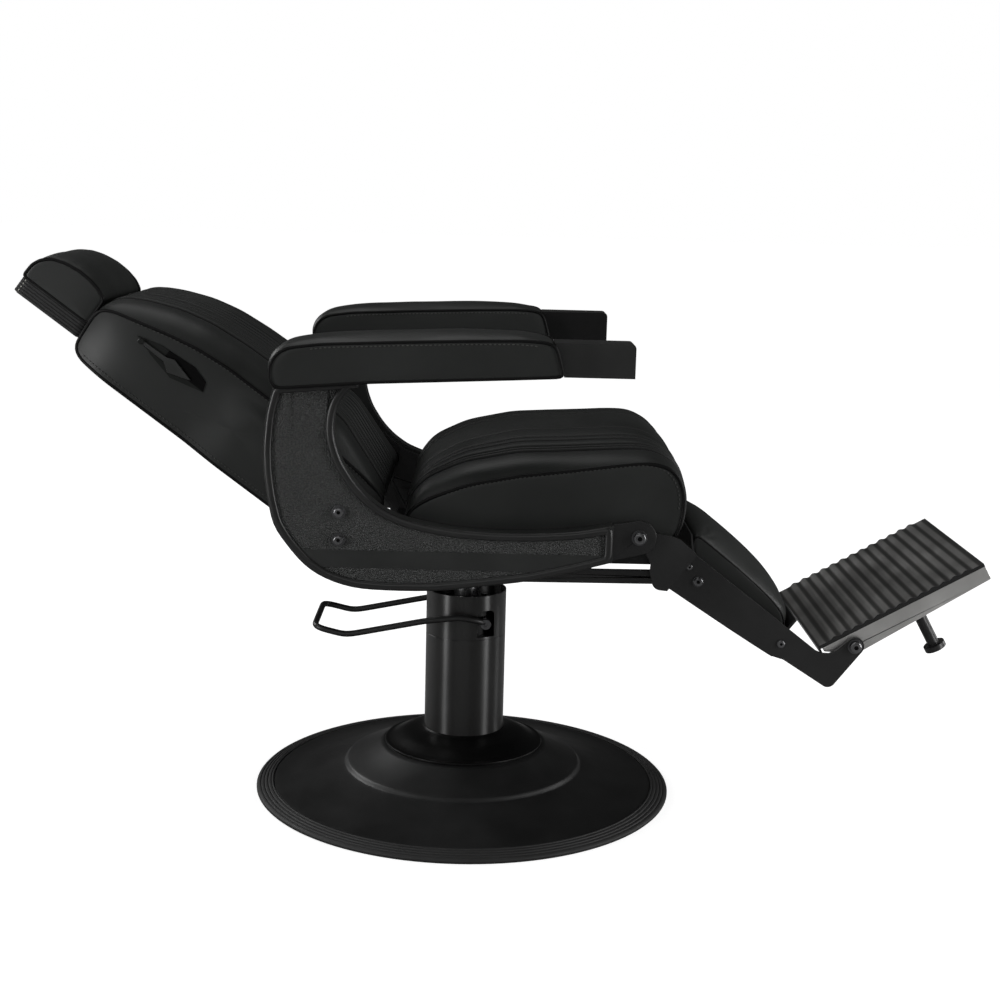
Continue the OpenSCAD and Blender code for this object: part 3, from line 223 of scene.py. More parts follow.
def side_run(line, share, y, place, fits):
    """The part of a cushion's side, near its edge, where fits(p, q) holds: points and their
    outward direction."""
    centre = sum((p.xy for p in line), Vector((0, 0))) / len(line)
    n = len(line)
    good = [fits(p.x, p.y) for p in line]
    start = next(i for i in range(n) if good[i] and not good[i - 1])
    run = []
    for k in range(n):
        i = (start + k) % n
        if not good[i]:
            break
        v = centre + (line[i].xy - centre) * share
        run.append((place(v.x, y, v.y), sideways(y)))
    return run


# Padding

def marks_across(half, seams, step):
    """Where the skin is measured across a cushion: close together at the seams and the edge."""
    beside_seam = (0, 1.6, 3.3, 6.2)
    beside_edge = (0, 1.2, 2.6, 5, 9, 14, 20, 28, 37)
    marks = set()
    for s in seams:
        for d in beside_seam:
            marks.update((s - d, s + d))
    for d in beside_edge:
        marks.update((half - d, d - half))
    y = -half
    while y < half:
        if min(abs(y - m) for m in marks) > 0.45 * step:
            marks.add(y)
        y += step
    out = []
    for y in sorted(m for m in marks if -half <= m <= half):
        if not out or y - out[-1] > 0.7:
            out.append(y)
    return out


def settled(obj, limit, pressure=4.0, frames=16):
    """Cloth under light pressure: the skin swells between the places where it is sewn down, by
    up to limit (mm)."""
    scene = bpy.context.scene
    skin = obj.data
    before = [v.co.copy() for v in skin.vertices]
    sewn = [d.value for d in skin.attributes["sewn"].data]
    held = obj.vertex_groups.new(name="sewn down")
    for i, share in enumerate(sewn):
        if share > 0:
            held.add([i], share, "REPLACE")
    cloth = obj.modifiers.new("settling", "CLOTH")
    c = cloth.settings
    c.vertex_group_mass = "sewn down"
    c.quality = 4
    c.mass = 0.3
    c.tension_stiffness = c.compression_stiffness = 12
    c.shear_stiffness = 6
    c.bending_stiffness = 0.3
    c.use_pressure = True
    c.uniform_pressure_force = pressure
    c.effector_weights.gravity = 0
    cloth.point_cache.frame_start = 1
    cloth.point_cache.frame_end = frames
    for f in range(1, frames + 1):
        scene.frame_set(f)
    shown = obj.evaluated_get(bpy.context.evaluated_depsgraph_get())
    after = [v.co.copy() for v in shown.data.vertices]
    obj.modifiers.remove(cloth)
    obj.vertex_groups.remove(held)
    scene.frame_set(1)
    for v, a, b, share in zip(skin.vertices, before, after, sewn):
        step = (b - a) * (1 - share)
        if not step.length < 1:
            continue  # a point that the simulation lost stays where it was
        if step.length > limit * mm:
            step *= limit * mm / step.length
        v.co = a + step


# What all cushions share: the rings of their flat sides, as shares of the outline, and in millimetres
# their seams' grooves, the puckers beside these, how near a seam or an edge the skin is held, how wide
# a channel must be to puff up fully, and the share of crown from which the top has seams at all
caps = (0.04, 0.16, 0.32, 0.48, 0.63, 0.76, 0.86, 0.92, 0.95, 0.975, 0.99)
groove_depth, groove_reach, groove_bottom = 6.0, 4.6, 1.8
pucker_depth, pucker_pitch, pucker_fade, pucker_reach = 0.06, 15, 5, 14
held_by_seam, held_by_edge = 3.5, 6
full_channel = 26
seamed_from, loose_from = 0.05, 0.08
side_lumps, top_lumps = 0.011, 0.018


def shade_by_seam(near):
    """How much shade is painted into the leather at a distance from a seam."""
    return 1.0 if near < groove_bottom else 0.7 if near < held_by_seam else 0.0


def cushion(name, outline, half, place, y_mid, crown, seams, body, count=180, step=11, soft=3, shoulder=40,
            puff=2.0, edge_dip=1.2, ledge=4.0, bulge=1.5, uneven=0.4, seed=0.0, swell_by=3.0):
    """A padded piece, half wide to each side of y_mid. Outline points are (p, q, edge share, middle
    share): crown is (height by the edge, further height in the middle), and the shares say how much
    of each stands there. The skin is drawn from side to side: caps close the sides, the crown falls
    over shoulder to a ledge, each seam is a groove and the channels between them puff up."""
    line = soften(spread(outline, count, True), soft)
    normals = outward(line)
    centre = sum((p.xy for p in line), Vector((0, 0))) / len(line)
    gap = math.dist(line[0][:2], line[1][:2])
    rings = []

    def cap(s, y):
        ring = []
        for i, p in enumerate(line):
            v = centre + (p.xy - centre) * s
            w = noise.noise(Vector((v.x, v.y, seed + (9 if y > 0 else 0))) * side_lumps) * uneven
            dip = edge_dip * max(0, (s - 0.94) / 0.06)
            out = half + bulge * (1 - s ** 3) - dip + w * (1 - s ** 6)
            ring.append(place(v.x, y_mid + math.copysign(out, y), v.y))
        return ring

    for s in caps:
        rings.append(cap(s, -1))
    painted_seam_shades = [[0.0] * count for s in caps]
    still = [[1.0] * count for s in caps]
    for y in marks_across(half, seams, step):
        inner = half - shoulder
        far = min(1.0, max(0.0, abs(y) - inner) / (shoulder - ledge))
        full = math.sqrt(max(0.0, 1 - far ** 2.2))
        middle = 1 - (min(abs(y), half) / half) ** 2
        near = min((abs(y - s) for s in seams), default=1e3)
        cut = groove_depth * max(0.0, 1 - near / groove_reach) ** 1.5
        lower = max([s for s in seams if s <= y], default=None)
        upper = min([s for s in seams if s > y], default=None)
        swell = 0.0
        if lower is not None and upper is not None:
            u = (y - lower) / (upper - lower)
            swell = puff * min(1.0, (upper - lower) / full_channel) * (4 * u * (1 - u)) ** 0.7
        ring = []
        for i, p in enumerate(line):
            h = p[2] * crown[0] * full + p[3] * crown[1] * middle
            if p[2] > seamed_from:
                h += swell - cut
                if near < pucker_reach:
                    wave = math.sin(i * gap * 2 * math.pi / pucker_pitch + y)
                    h += pucker_depth * math.exp(-near / pucker_fade) * wave
                h += uneven * noise.noise(Vector((p.x, y, p.y + seed)) * top_lumps)
            q = p.xy + normals[i] * h
            ring.append(place(q.x, y_mid + y, q.y))
        rings.append(ring)
        # the shade painted into the bottom of each seam's groove
        painted_seam_shades.append([shade_by_seam(near) if p[2] > seamed_from else 0.0 for p in line])
        sewn = near < held_by_seam or half - abs(y) < held_by_edge
        still.append([1.0 if sewn or p[2] < loose_from else max(0.0, 1 - (p[2] - loose_from) * 3)
                      for p in line])
    for s in reversed(caps):
        rings.append(cap(s, 1))
        painted_seam_shades.append([0.0] * count)
        still.append([1.0] * count)
    bm = bmesh.new()
    drawn_through(bm, rings, painted_seam_shades=painted_seam_shades, still=still)
    obj = as_piece(name, bm, looks["leather"], body)
    settled(obj, swell_by)
    smooth_skin = obj.modifiers.new("smooth skin", "SUBSURF")
    smooth_skin.levels = smooth_skin.render_levels = 1
    return obj, line, normals


def piping(where, line, normals, place, body, radius=2.7, out=0.4):
    """Welts around a cushion's outline; where gives the y of each by its name."""
    for name, y in where.items():
        path = [place(p.x + n.x * out, y, p.y + n.y * out) for p, n in zip(line, normals)]
        cord_piece(name, path, radius, True, looks["welt"], body, "leather")


def both(name, y):
    return {name + "_right": -y, name + "_left": y}


# Materials

def feed(tree, node, values):
    """Gives a node's inputs their numbers, or links them to other nodes' outputs."""
    for key, value in values.items():
        if isinstance(value, bpy.types.NodeSocket):
            tree.links.new(value, node.inputs[key])
        else:
            node.inputs[key].default_value = value
    return node


def add(tree, kind, values=None, **settings):
    """A new shader node with its own settings and its inputs' values."""
    node = tree.nodes.new("ShaderNode" + kind)
    for key, value in settings.items():
        setattr(node, key, value)
    return feed(tree, node, values or {})


def maths(tree, operation, *values):
    return add(tree, "Math", dict(enumerate(values)), operation=operation).outputs["Value"]


def ranged(tree, value, start, end, low=0.0, high=1.0, **settings):
    """Brings start to end of a value to low to high."""
    return add(tree, "MapRange", {"Value": value, "From Min": start, "From Max": end, "To Min": low,
                                  "To Max": high}, **settings).outputs["Result"]


def mixed(tree, share, first, second):
    """One colour over another, by share."""
    return add(tree, "Mix", {"Factor": share, "A": first, "B": second}, data_type="RGBA").outputs["Result"]


def point(tree):
    return add(tree, "TexCoord").outputs["Object"]


def speckle(tree, scale, detail):
    return add(tree, "TexNoise", {"Vector": point(tree), "Scale": scale, "Detail": detail}).outputs["Fac"]


def off_middle(tree):
    """How far a point lies to the side of the chair's middle."""
    return maths(tree, "ABSOLUTE", add(tree, "SeparateXYZ", {"Vector": point(tree)}).outputs["Y"])


def along(tree, direction):
    """How far a point lies along a direction."""
    return add(tree, "VectorMath", {0: point(tree), 1: direction}, operation="DOT_PRODUCT").outputs["Value"]


def surface(mat):
    return mat.node_tree.nodes["Principled BSDF"]


def source(mat, name):
    """What feeds one of the surface's inputs now."""
    return surface(mat).inputs[name].links[0].from_socket


def painted_over(mat, mask, colour):
    """Gives a look another colour where the mask is 1."""
    tree = mat.node_tree
    feed(tree, surface(mat), {"Base Color": mixed(tree, mask, source(mat, "Base Color"), colour)})


def shared_finish(name, relief, patch_size, patch_detail):
    """A node group for several looks: their relief, and slow patches that differ in tone and sheen."""
    tree = bpy.data.node_groups.new(name, "ShaderNodeTree")
    for label, kind in (("Colour", "Color"), ("Roughness", "Float"), ("Sheen change", "Float")):
        tree.interface.new_socket(label, in_out="INPUT", socket_type="NodeSocket" + kind)
    for label, kind in (("Colour", "Color"), ("Roughness", "Float"), ("Height", "Float")):
        tree.interface.new_socket(label, in_out="OUTPUT", socket_type="NodeSocket" + kind)
    given = tree.nodes.new("NodeGroupInput").outputs
    patches = speckle(tree, patch_size, patch_detail)
    tone = ranged(tree, patches, 0.3, 0.7, 0.86, 1.14)
    toned = add(tree, "VectorMath", {0: given["Colour"], "Scale": tone}, operation="SCALE")
    duller = ranged(tree, patches, 0.3, 0.7, -1.0, 1.0)
    feed(tree, tree.nodes.new("NodeGroupOutput"), {
        "Colour": toned.outputs["Vector"], "Height": relief(tree),
        "Roughness": maths(tree, "MULTIPLY_ADD", duller, given["Sheen change"], given["Roughness"])})
    return tree


def hide_relief(tree):
    """Pebbles of the hide, on broad unevenness."""
    cells = add(tree, "TexVoronoi", {"Vector": point(tree), "Scale": 620}, feature="DISTANCE_TO_EDGE")
    pebbles = maths(tree, "SMOOTH_MIN", cells.outputs["Distance"], 0.16, 0.1)
    return maths(tree, "MULTIPLY_ADD", speckle(tree, 38, 4), 0.9, pebbles)


def orange_peel(tree):
    return speckle(tree, 900, 2)


hide = shared_finish("hide grain", hide_relief, 9, 5)
sprayed = shared_finish("sprayed coat", orange_peel, 14, 4)


def finish_look(name, colour, rough, bump, deep, shared=sprayed, metal=0.0, sheen_change=0.06, specular=0.5):
    """A look from a shared finish, with its own colour, roughness and depth of relief (deep: in metres)."""
    mat = bpy.data.materials.new(name)
    mat.use_nodes = True
    mat.diffuse_color = (*colour, 1)
    tree = mat.node_tree
    surface(mat).inputs["Base Color"].default_value = (*colour, 1)
    finish = add(tree, "Group", {"Colour": (*colour, 1), "Roughness": rough, "Sheen change": sheen_change},
                 node_tree=shared).outputs
    relief = add(tree, "Bump", {"Strength": bump, "Distance": deep, "Height": finish["Height"]})
    feed(tree, surface(mat), {
        "Base Color": finish["Colour"], "Roughness": finish["Roughness"], "Normal": relief.outputs["Normal"],
        "Metallic": metal, "Specular IOR Level": specular})
    return mat


def pebbled(mat, colour, face, bead):
    """Cast paint, pebbled on the sunk faces and smooth on the raised bead (face and bead: metres off middle)."""
    tree = mat.node_tree
    side = off_middle(tree)
    height = add(tree, "SeparateXYZ", {"Vector": point(tree)}).outputs["Z"]
    neck = maths(tree, "MULTIPLY", maths(tree, "GREATER_THAN", height, 0.6),
                 maths(tree, "GREATER_THAN", side, face - 0.001))
    sunk = maths(tree, "MAXIMUM", maths(tree, "COMPARE", side, face, (bead - face) / 2), neck)
    lumps = maths(tree, "MULTIPLY", speckle(tree, 430, 3), sunk)
    darker, lighter = ((*(c * share for c in colour), 1) for share in (0.7, 1.9))
    painted_over(mat, sunk, mixed(tree, ranged(tree, lumps, 0.4, 0.62), darker, lighter))
    relief = add(tree, "Bump", {"Strength": 1.0, "Distance": 0.0032, "Height": lumps,
                                "Normal": source(mat, "Normal")})
    feed(tree, surface(mat), {"Normal": relief.outputs["Normal"]})
    return mat


def paint_seam_shade(mat):
    """Painted shade: the leather's colour is darker in the bottom of a seam, and duller there, where the skin's
    own layer says so.
    """
    tree = mat.node_tree
    seam = add(tree, "Attribute", attribute_name="seam").outputs["Fac"]
    painted_over(mat, seam, (0.0015, 0.0015, 0.0015, 1))
    feed(tree, surface(mat), {"Roughness": maths(tree, "MULTIPLY_ADD", seam, 0.5, source(mat, "Roughness"))})


def brushed_upwards(mat):
    """The column's coat is drawn out upwards, as brushed tube is."""
    upwards = add(mat.node_tree, "Tangent", direction_type="RADIAL", axis="Z").outputs["Tangent"]
    feed(mat.node_tree, surface(mat), {"Anisotropic": 0.85, "Anisotropic Rotation": 0.25, "Tangent": upwards})


def painted_rib_shade(mat):
    """Painted shade on the deck: each rib's falling flank and valley are darker, as the light falls across the
    ribs, and its cut ends at the sides are painted dark as in shadow.
    """
    tree = mat.node_tree
    ribs, ribbed_length, behind_hinge = 13, 0.233, 0.0295
    c, s = math.cos(footplate_rise), math.sin(footplate_rise)
    first_rib = (footplate_hinge[0] * c + footplate_hinge[1] * s) * mm - behind_hinge
    turn = 2 * math.pi * ribs / ribbed_length
    phase = maths(tree, "MULTIPLY_ADD", along(tree, (c, 0, s)), turn, -turn * first_rib + 0.75)
    shaded_flank = ranged(tree, maths(tree, "COSINE", phase), -0.55, 0.9, 0.0, 0.8, interpolation_type="SMOOTHSTEP")
    shaded_cut_end = maths(tree, "GREATER_THAN", off_middle(tree), 0.1666)
    painted_over(mat, maths(tree, "MAXIMUM", shaded_flank, shaded_cut_end), (0.05, 0.05, 0.05, 1))


def painted_inner_shade(mat):
    """The arm ends are open on their inner side, so that side is in the dark: its colour is painted as near-black
    shade, and it is fully rough.
    """
    tree = mat.node_tree
    inner = maths(tree, "LESS_THAN", off_middle(tree), 0.2546)
    painted_over(mat, inner, (0.001, 0.001, 0.001, 1))
    feed(tree, surface(mat), {"Roughness": maths(tree, "MAXIMUM", inner, source(mat, "Roughness"))})


def covered_edges(mat):
    """The pull's recess is painted dark as shade; its rear strip and its upper tip are covered by the leather."""
    tree = mat.node_tree
    c, s = math.cos(back_lean), math.sin(back_lean)
    x, z = (place * mm for place in back_pivot)
    rear = maths(tree, "LESS_THAN", along(tree, (c, 0, s)), x * c + z * s + 0.0105)
    tip = maths(tree, "GREATER_THAN", along(tree, (-s, 0, c)), -x * s + z * c + 0.366)
    painted_over(mat, maths(tree, "MAXIMUM", rear, tip), (0.016, 0.017, 0.016, 1))


def grey(value):
    return (value, value, value)


cast_colour = (0.0165, 0.0175, 0.0168)
looks = {
    "leather": finish_look("black leather", (0.0125, 0.0137, 0.0128), 0.47, 0.35, 0.00025, hide, specular=0.42),
    # the welt's near-black colour is painted shade, as in the groove beside it
    "welt": finish_look("welt painted as groove shade", grey(0.0025), 0.5, 0.2, 0.0001, hide, specular=0.16),
    "thread": finish_look("waxed thread", (0.05, 0.052, 0.047), 0.5, 0.2, 0.0001, hide),
    "dark_thread": finish_look("dark waxed thread", (0.03, 0.031, 0.029), 0.5, 0.2, 0.0001, hide),
    "pale_thread": finish_look("pale thread", (0.45, 0.45, 0.4), 0.6, 0.2, 0.0001, hide),
    "satin_steel": finish_look("satin black powder coat", grey(0.012), 0.4, 0.3, 0.00008),
    "cast_frame": pebbled(finish_look("cast aluminium black paint", cast_colour, 0.42, 0.25, 0.0002),
                          cast_colour, 0.302, 0.304),
    "cast_bead": finish_look("cast bead paint", (0.012, 0.0122, 0.012), 0.34, 0.25, 0.0001),
    "column_coat": finish_look("brushed black column", (0.0065, 0.0065, 0.0062), 0.3, 0.15, 0.00005,
                               specular=0.75, sheen_change=0.03),
    "disc_coat": finish_look("black trim disc", grey(0.002), 0.36, 0.1, 0.00003, sheen_change=0.03,
                             specular=0.22),
    "dome_coat": finish_look("base powder coat", (0.006, 0.0062, 0.0062), 0.46, 0.3, 0.00008),
    "bolt_head": finish_look("bolt heads", (0.2, 0.2, 0.205), 0.3, 0.1, 0.00005, metal=1.0),
    "socket": finish_look("socket shadow", grey(0.001), 0.9, 0.1, 0.00005, specular=0.1),
    # the pump's steel, seen in the dark, has its colour painted dark as shade
    "shaded_steel": finish_look("steel painted as in shade", grey(0.012), 0.4, 0.1, 0.00005, metal=0.6),
    "bare_steel": finish_look("ground steel", (0.55, 0.55, 0.56), 0.25, 0.1, 0.00005, metal=1.0),
    "dark_bolts": finish_look("blackened steel", (0.14, 0.14, 0.145), 0.33, 0.1, 0.00005, metal=1.0),
    # this deck look gets painted shade on its rib flanks, valleys and cut ends below
    "deck_aluminium": finish_look("anodised deck with painted rib shade", (0.62, 0.615, 0.6), 0.34, 0.05, 0.00003, metal=0.85),
    "deck_sides": finish_look("anodised cheeks", (0.62, 0.615, 0.6), 0.34, 0.05, 0.00003, metal=0.85),
    "calf_tray": finish_look("leg rest coat", grey(0.016), 0.38, 0.3, 0.00008),
    "arm_channel": finish_look("arm end coat", (0.016, 0.0163, 0.0158), 0.4, 0.3, 0.00008),
    "board_wood": finish_look("plywood", (0.36, 0.24, 0.13), 0.6, 0.3, 0.0002),
    "stained_board": finish_look("black stained plywood", (0.012, 0.011, 0.01), 0.6, 0.3, 0.0002),
    "rubber": finish_look("black rubber", grey(0.012), 0.6, 0.3, 0.0001),
    # the recess's near-black colour is painted shade
    "recess": finish_look("pull recess painted shade", grey(0.002), 0.8, 0.2, 0.0001, specular=0.1),
    "pull": finish_look("pull plate", (0.028, 0.029, 0.028), 0.34, 0.2, 0.0001),
    "plastic": finish_look("black plastic", grey(0.02), 0.5, 0.2, 0.0001),
}
paint_seam_shade(looks["leather"])
brushed_upwards(looks["column_coat"])
painted_rib_shade(looks["deck_aluminium"])
painted_inner_shade(looks["arm_channel"])
covered_edges(looks["recess"])

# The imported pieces: their looks, and edges as tools and paint leave them
own_looks = {
    "paddle_bezel": "recess", "recline_paddle": "pull", "seat_board": "stained_board",
    "arm_rail_right": "arm_channel", "arm_rail_left": "arm_channel", "column_cover": "column_coat",
    "pump_sleeve": "column_coat", "column_trim_disc": "disc_coat", "base_cover": "dome_coat",
    "pump_body": "shaded_steel", "footplate_cheek_right": "deck_sides", "footplate_cheek_left": "deck_sides"}
slots = {s.get("node", s.get("name")): s["material_slot"] for s in frame["record"]["subparts"]}
for node, obj in frame["nodes"].items():
    if not obj.data.materials:
        obj.data.materials.append(None)
    for place in obj.material_slots:
        place.material = looks[own_looks.get(node, slots[node])]
    if slots[node] in ("leather", "board_wood"):
        continue
    for face in obj.data.polygons:
        face.use_smooth = True
    weld = obj.modifiers.new("closed edges", "WELD")
    weld.merge_threshold = 0.00002
    if node == "footplate_deck":
        crease = obj.modifiers.new("sharp only at its edges", "EDGE_SPLIT")
        crease.split_angle = math.radians(34)
    else:
        soft_edge = obj.modifiers.new("broken edges", "BEVEL")
        soft_edge.width = 0.0016 if slots[node] == "cast_frame" else 0.0007
        soft_edge.segments = 2
        soft_edge.limit_method = "ANGLE"
        soft_edge.angle_limit = math.radians(40)
        flat = obj.modifiers.new("flat faces stay flat", "WEIGHTED_NORMAL")
        flat.weight = 80


def in_seat_cover(x, y, z):
    """The seat's own place, never below the top of its board."""
    board_top = 462.8
    return in_seat(x, y, max(z, board_top))


# Seat cushion
seat_shares = [
    [0.03, 0, 0, 0], [0.015, 0.126, 0, 0], [0.0175, 0.288, 0.2, 0], [0.055, 0.396, 0.8, 0.1],
    [0.1075, 0.5, 1.25, 0.4], [0.235, 0.667, 1.35, 0.8], [0.4175, 0.793, 1.3, 1], [0.6, 0.874, 0.95, 1],
    [0.78, 0.964, 0.6, 1], [0.871, 1, 0.45, 0.85], [0.945, 0.941, 0.3, 0.3], [0.9825, 0.775, 0.35, 0.12],
    [0.998, 0.541, 0.42, 0.1], [0.99, 0.27, 0.5, 0.1], [0.975, 0.072, 0.5, 0], [0.962, 0, 0.3, 0],
    [0.9, 0, 0, 0], [0.5, 0, 0, 0]]
seat_seams = [s * y for y in (83, 138, 160, 188, 199, 210) for s in (-1, 1)]
seat, seat_line, seat_out = cushion(
    "seat_upholstery", scaled(seat_shares, x0=-92, z0=463, length=400, height=111), half=260,
    place=in_seat_cover, y_mid=0, crown=(15.5, 22), seams=seat_seams, body="seat", count=200, shoulder=46,
    bulge=1.6, step=12, puff=2.6, soft=9, seed=3)
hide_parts("seat_cushion")
piping(both("seat_welt", 258.6), seat_line, seat_out, in_seat, "seat", out=-0.3)


def eased(t):
    """From 0 to 1, slow at both ends."""
    t = max(0.0, min(1.0, t))
    return t * t * (3 - 2 * t)


def in_back_cover(b, y, a):
    """The back's own place, with its upper corners rounded off and its sides let out over the
    hinge plates. Each eased() grows from where it starts over so many millimetres."""
    round_off = 22 * eased((a - 392) / 92) ** 1.6 * (0.2 + 0.8 * eased((30 - b) / 80))
    let_out = 9.4 * eased((288 - a) / 80) * eased((b + 80) / 20) * eased((50 - b) / 26)
    let_out *= min(1, abs(y) / 190) ** 8
    return in_back(b, y * (1 - round_off / 195) + math.copysign(let_out, y), a)


# Back upholstery
back_outline = [
    [-62.8, -2, 0, 0], [-57, -10, 0, 0], [-10, -10, 0, 0], [31, -10, 0, 0], [45, -4.1, 0, 0],
    [52.5, 39, 0.33, 0.2], [58, 112.5, 1, 1], [59, 195.8, 1.08, 1.2], [59.3, 288.9, 1, 1],
    [54.2, 340.4, 1, 1], [45.2, 384.5, 0.95, 1], [32.8, 431, 0.75, 0.8], [24.5, 461.9, 0.5, 0.4],
    [16, 477, 0.25, 0], [4, 481, 0, 0], [-10, 481, 0, 0], [-40, 480.5, 0, 0], [-52, 479, 0, 0], [-59, 473, 0, 0],
    [-62.8, 462, 0, 0], [-62.8, 240, 0, 0]]
back_seams = [s * y for y in (13, 40, 70, 90, 124) for s in (-1, 1)]
back, back_line, back_out = cushion(
    "back_upholstery", back_outline, half=195.6, place=in_back_cover, y_mid=0, crown=(29.5, 4),
    seams=back_seams, body="back", count=200, shoulder=46, bulge=0.0, step=12, puff=3.0, uneven=0.3,
    edge_dip=0.0, seed=11)
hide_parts("back_cushion", "back_panel", "back_core")
piping(both("back_welt", 194.2), back_line, back_out, in_back_cover, "back", out=-0.4)

# Headrest
head_shares = [
    [0, 0, 0, 0], [0.76, 0, 0, 0], [0.907, 0.134, 0.5, 0.3], [0.978, 0.295, 1, 0.8], [0.993, 0.478, 1, 1],
    [0.937, 0.66, 1, 1], [0.815, 0.83, 1, 0.9], [0.604, 0.9375, 0.7, 0.6], [0.37, 0.991, 0.3, 0.2],
    [0, 1, 0, 0]]
head, head_line, head_out = cushion(
    "headrest_upholstery", scaled(head_shares, x0=-26, z0=491, length=54, height=112), half=126,
    place=in_back, y_mid=0, crown=(5, 5), seams=[], body="headrest", count=120, shoulder=34, bulge=1.2,
    step=10, seed=21, uneven=1.0)
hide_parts("headrest_cushion")
piping(both("headrest_welt", 124.4), head_line, head_out, in_back, "headrest")

# Ribbed rubber band around the headrest's board, and the cover of its rear face
board_width, board_low, board_high, corner_radius = 246, 489, 601, 6
band_rear, band_front, rib_count, steps_across = -52.5, -25, 6, 48
rib_crest, rib_depth, band_inside = 3.4, 1.7, -3
corners = []
for k in range(4):
    across = (board_width / 2 - corner_radius) * (1 if k in (0, 3) else -1)
    up = board_high - corner_radius if k < 2 else board_low + corner_radius
    for degrees in range(90 * k, 90 * k + 91, 15):
        q = math.radians(degrees)
        corners.append((across + corner_radius * math.cos(q), up + corner_radius * math.sin(q)))
loop = spread(corners, 120, True)
section = []
for k in range(steps_across + 1):
    rib = 1 - abs(math.sin(math.pi * rib_count * k / steps_across))
    across = band_rear + (band_front - band_rear) * k / steps_across
    section.append((across, rib_crest - rib_depth * rib ** 3))
section += [(band_front, band_inside), (band_rear, band_inside)]
band_rings = [[in_back(b, p.x + n.x * o, p.y + n.y * o) for b, o in section] for p, n in zip(loop, outward(loop))]
ring_piece("headrest_ribbed_band", band_rings + band_rings[:1], looks["rubber"], "headrest", joined=True)

cover_size = (4, 243, 108)
bm = bmesh.new()
bmesh.ops.create_cube(bm, size=1)
bmesh.ops.scale(bm, vec=[side * mm for side in cover_size], verts=bm.verts)
bmesh.ops.bevel(bm, geom=bm.edges[:] + bm.verts[:], offset=1.8 * mm, offset_type="OFFSET", segments=3,
                profile=0.5, affect="EDGES", material=-1)
bmesh.ops.rotate(bm, cent=(0, 0, 0), matrix=Matrix.Rotation(-back_lean, 3, "Y"), verts=bm.verts)
bmesh.ops.translate(bm, vec=in_back(-52, 0, 545.5), verts=bm.verts)
as_piece("headrest_rear_cover", bm, looks["leather"], "headrest")

# Raised bead around the outer face of each side casting
outer_shares = [
    [0.029, 0.958], [0.008, 0.817], [0, 0.669], [0.002, 0.541], [0.0124, 0.417], [0.029, 0.297],
    [0.064, 0.203], [0.118, 0.1], [0.178, 0.036], [0.256, -0.005], [0.349, -0.017], [0.488, -0.014],
    [0.638, 0.0155], [0.773, 0.048], [0.899, 0.1], [1, 0.145]]
inner_shares = [
    [1, 0.324], [0.895, 0.293], [0.783, 0.279], [0.671, 0.276], [0.56, 0.286], [0.486, 0.303],
    [0.409, 0.331], [0.349, 0.372], [0.298, 0.434], [0.26, 0.503], [0.223, 0.6], [0.2045, 0.686],
    [0.198, 0.752], [0.2025, 0.838], [0.217, 0.9], [0.244, 0.952], [0.278, 0.994]]
edge_line = scaled(outer_shares + inner_shares, x0=-280, z0=398, length=484, height=290)
edge_line = soften(spread(edge_line, 260, True), 4)
inset, bead_radius = 5.6, 5.5
for name, y in both("casting_bead", 303.4).items():
    path = [in_seat(p.x - inset * n.x, y, p.y - inset * n.y) for p, n in zip(edge_line, outward(edge_line))]
    cord_piece(name, path, bead_radius, True, looks["cast_bead"], "seat", "cast_frame", sides=14, flat=0.62,
               up=Vector((0, 1, 0)))

# Arm pads
pad_shares = [
    [0.015, 0, 0, 0], [0, 0.2, 0.5, 0], [0.001, 0.42, 0.8, 0], [0.02, 0.62, 1, 0], [0.06, 0.75, 1, 0.3],
    [0.17, 0.83, 1, 1], [0.43, 0.9, 1, 1], [0.68, 0.955, 1, 1], [0.86, 0.98, 0.8, 0.6],
    [0.93, 0.965, 0.4, 0.1], [0.967, 0.92, 0.1, 0], [0.978, 0.8, 0, 0], [0.99, 0.55, 0, 0],
    [1.003, 0.33, 0, 0], [0.83, 0.28, 0, 0], [0.34, 0.15, 0, 0]]
arm_middle = {"right": -281, "left": 281}
for word, mid in arm_middle.items():
    pad, pad_line, pad_out = cushion(
        "arm_upholstery_" + word, scaled(pad_shares, x0=-268, z0=676, length=395, height=73), half=53.5,
        place=in_seat, y_mid=mid, crown=(7, 2), seams=[], body="seat", count=170, shoulder=24, bulge=0.4,
        step=8, seed=mid, uneven=1.0, swell_by=2.5, edge_dip=1.6, ledge=4.5)
    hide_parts("arm_pad_" + word)
    welts = {"arm_welt_%s_%s" % (word, "out" if abs(y) > abs(mid) else "in"): y for y in (mid - 52.4, mid + 52.4)}
    piping(welts, pad_line, pad_out, in_seat, "seat", radius=2.4, out=-0.2)

# Calf pad
calf_shares = [
    [0.12, 0, 0, 0], [0.095, 0.234, 0, 0], [0.06, 0.484, 0.05, 0.05], [0.035, 0.703, 0.1, 0.1],
    [0.025, 0.89, 0.3, 0.3], [0.045, 0.984, 0.8, 0.8], [0.12, 1, 1, 1], [0.245, 0.984, 1, 1],
    [0.435, 0.953, 1, 1], [0.63, 0.89, 1, 1], [0.76, 0.8125, 1, 1], [0.86, 0.703, 1, 1],
    [0.925, 0.547, 1, 1], [0.965, 0.36, 0.75, 0.7], [0.99, 0.14, 0.2, 0.2], [1, 0, 0, 0]]
calf, calf_line, calf_out = cushion(
    "calf_upholstery", scaled(calf_shares, x0=84, z0=11.5, length=200, height=32), half=155,
    place=in_legrest, y_mid=0, crown=(9, 8), seams=[], body="legrest", count=140, shoulder=50, bulge=0.5,
    step=10, seed=31, uneven=0.8)
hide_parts("calf_cushion")
piping(both("calf_welt", 153.6), calf_line, calf_out, in_legrest, "legrest", radius=1.7, out=-0.3)

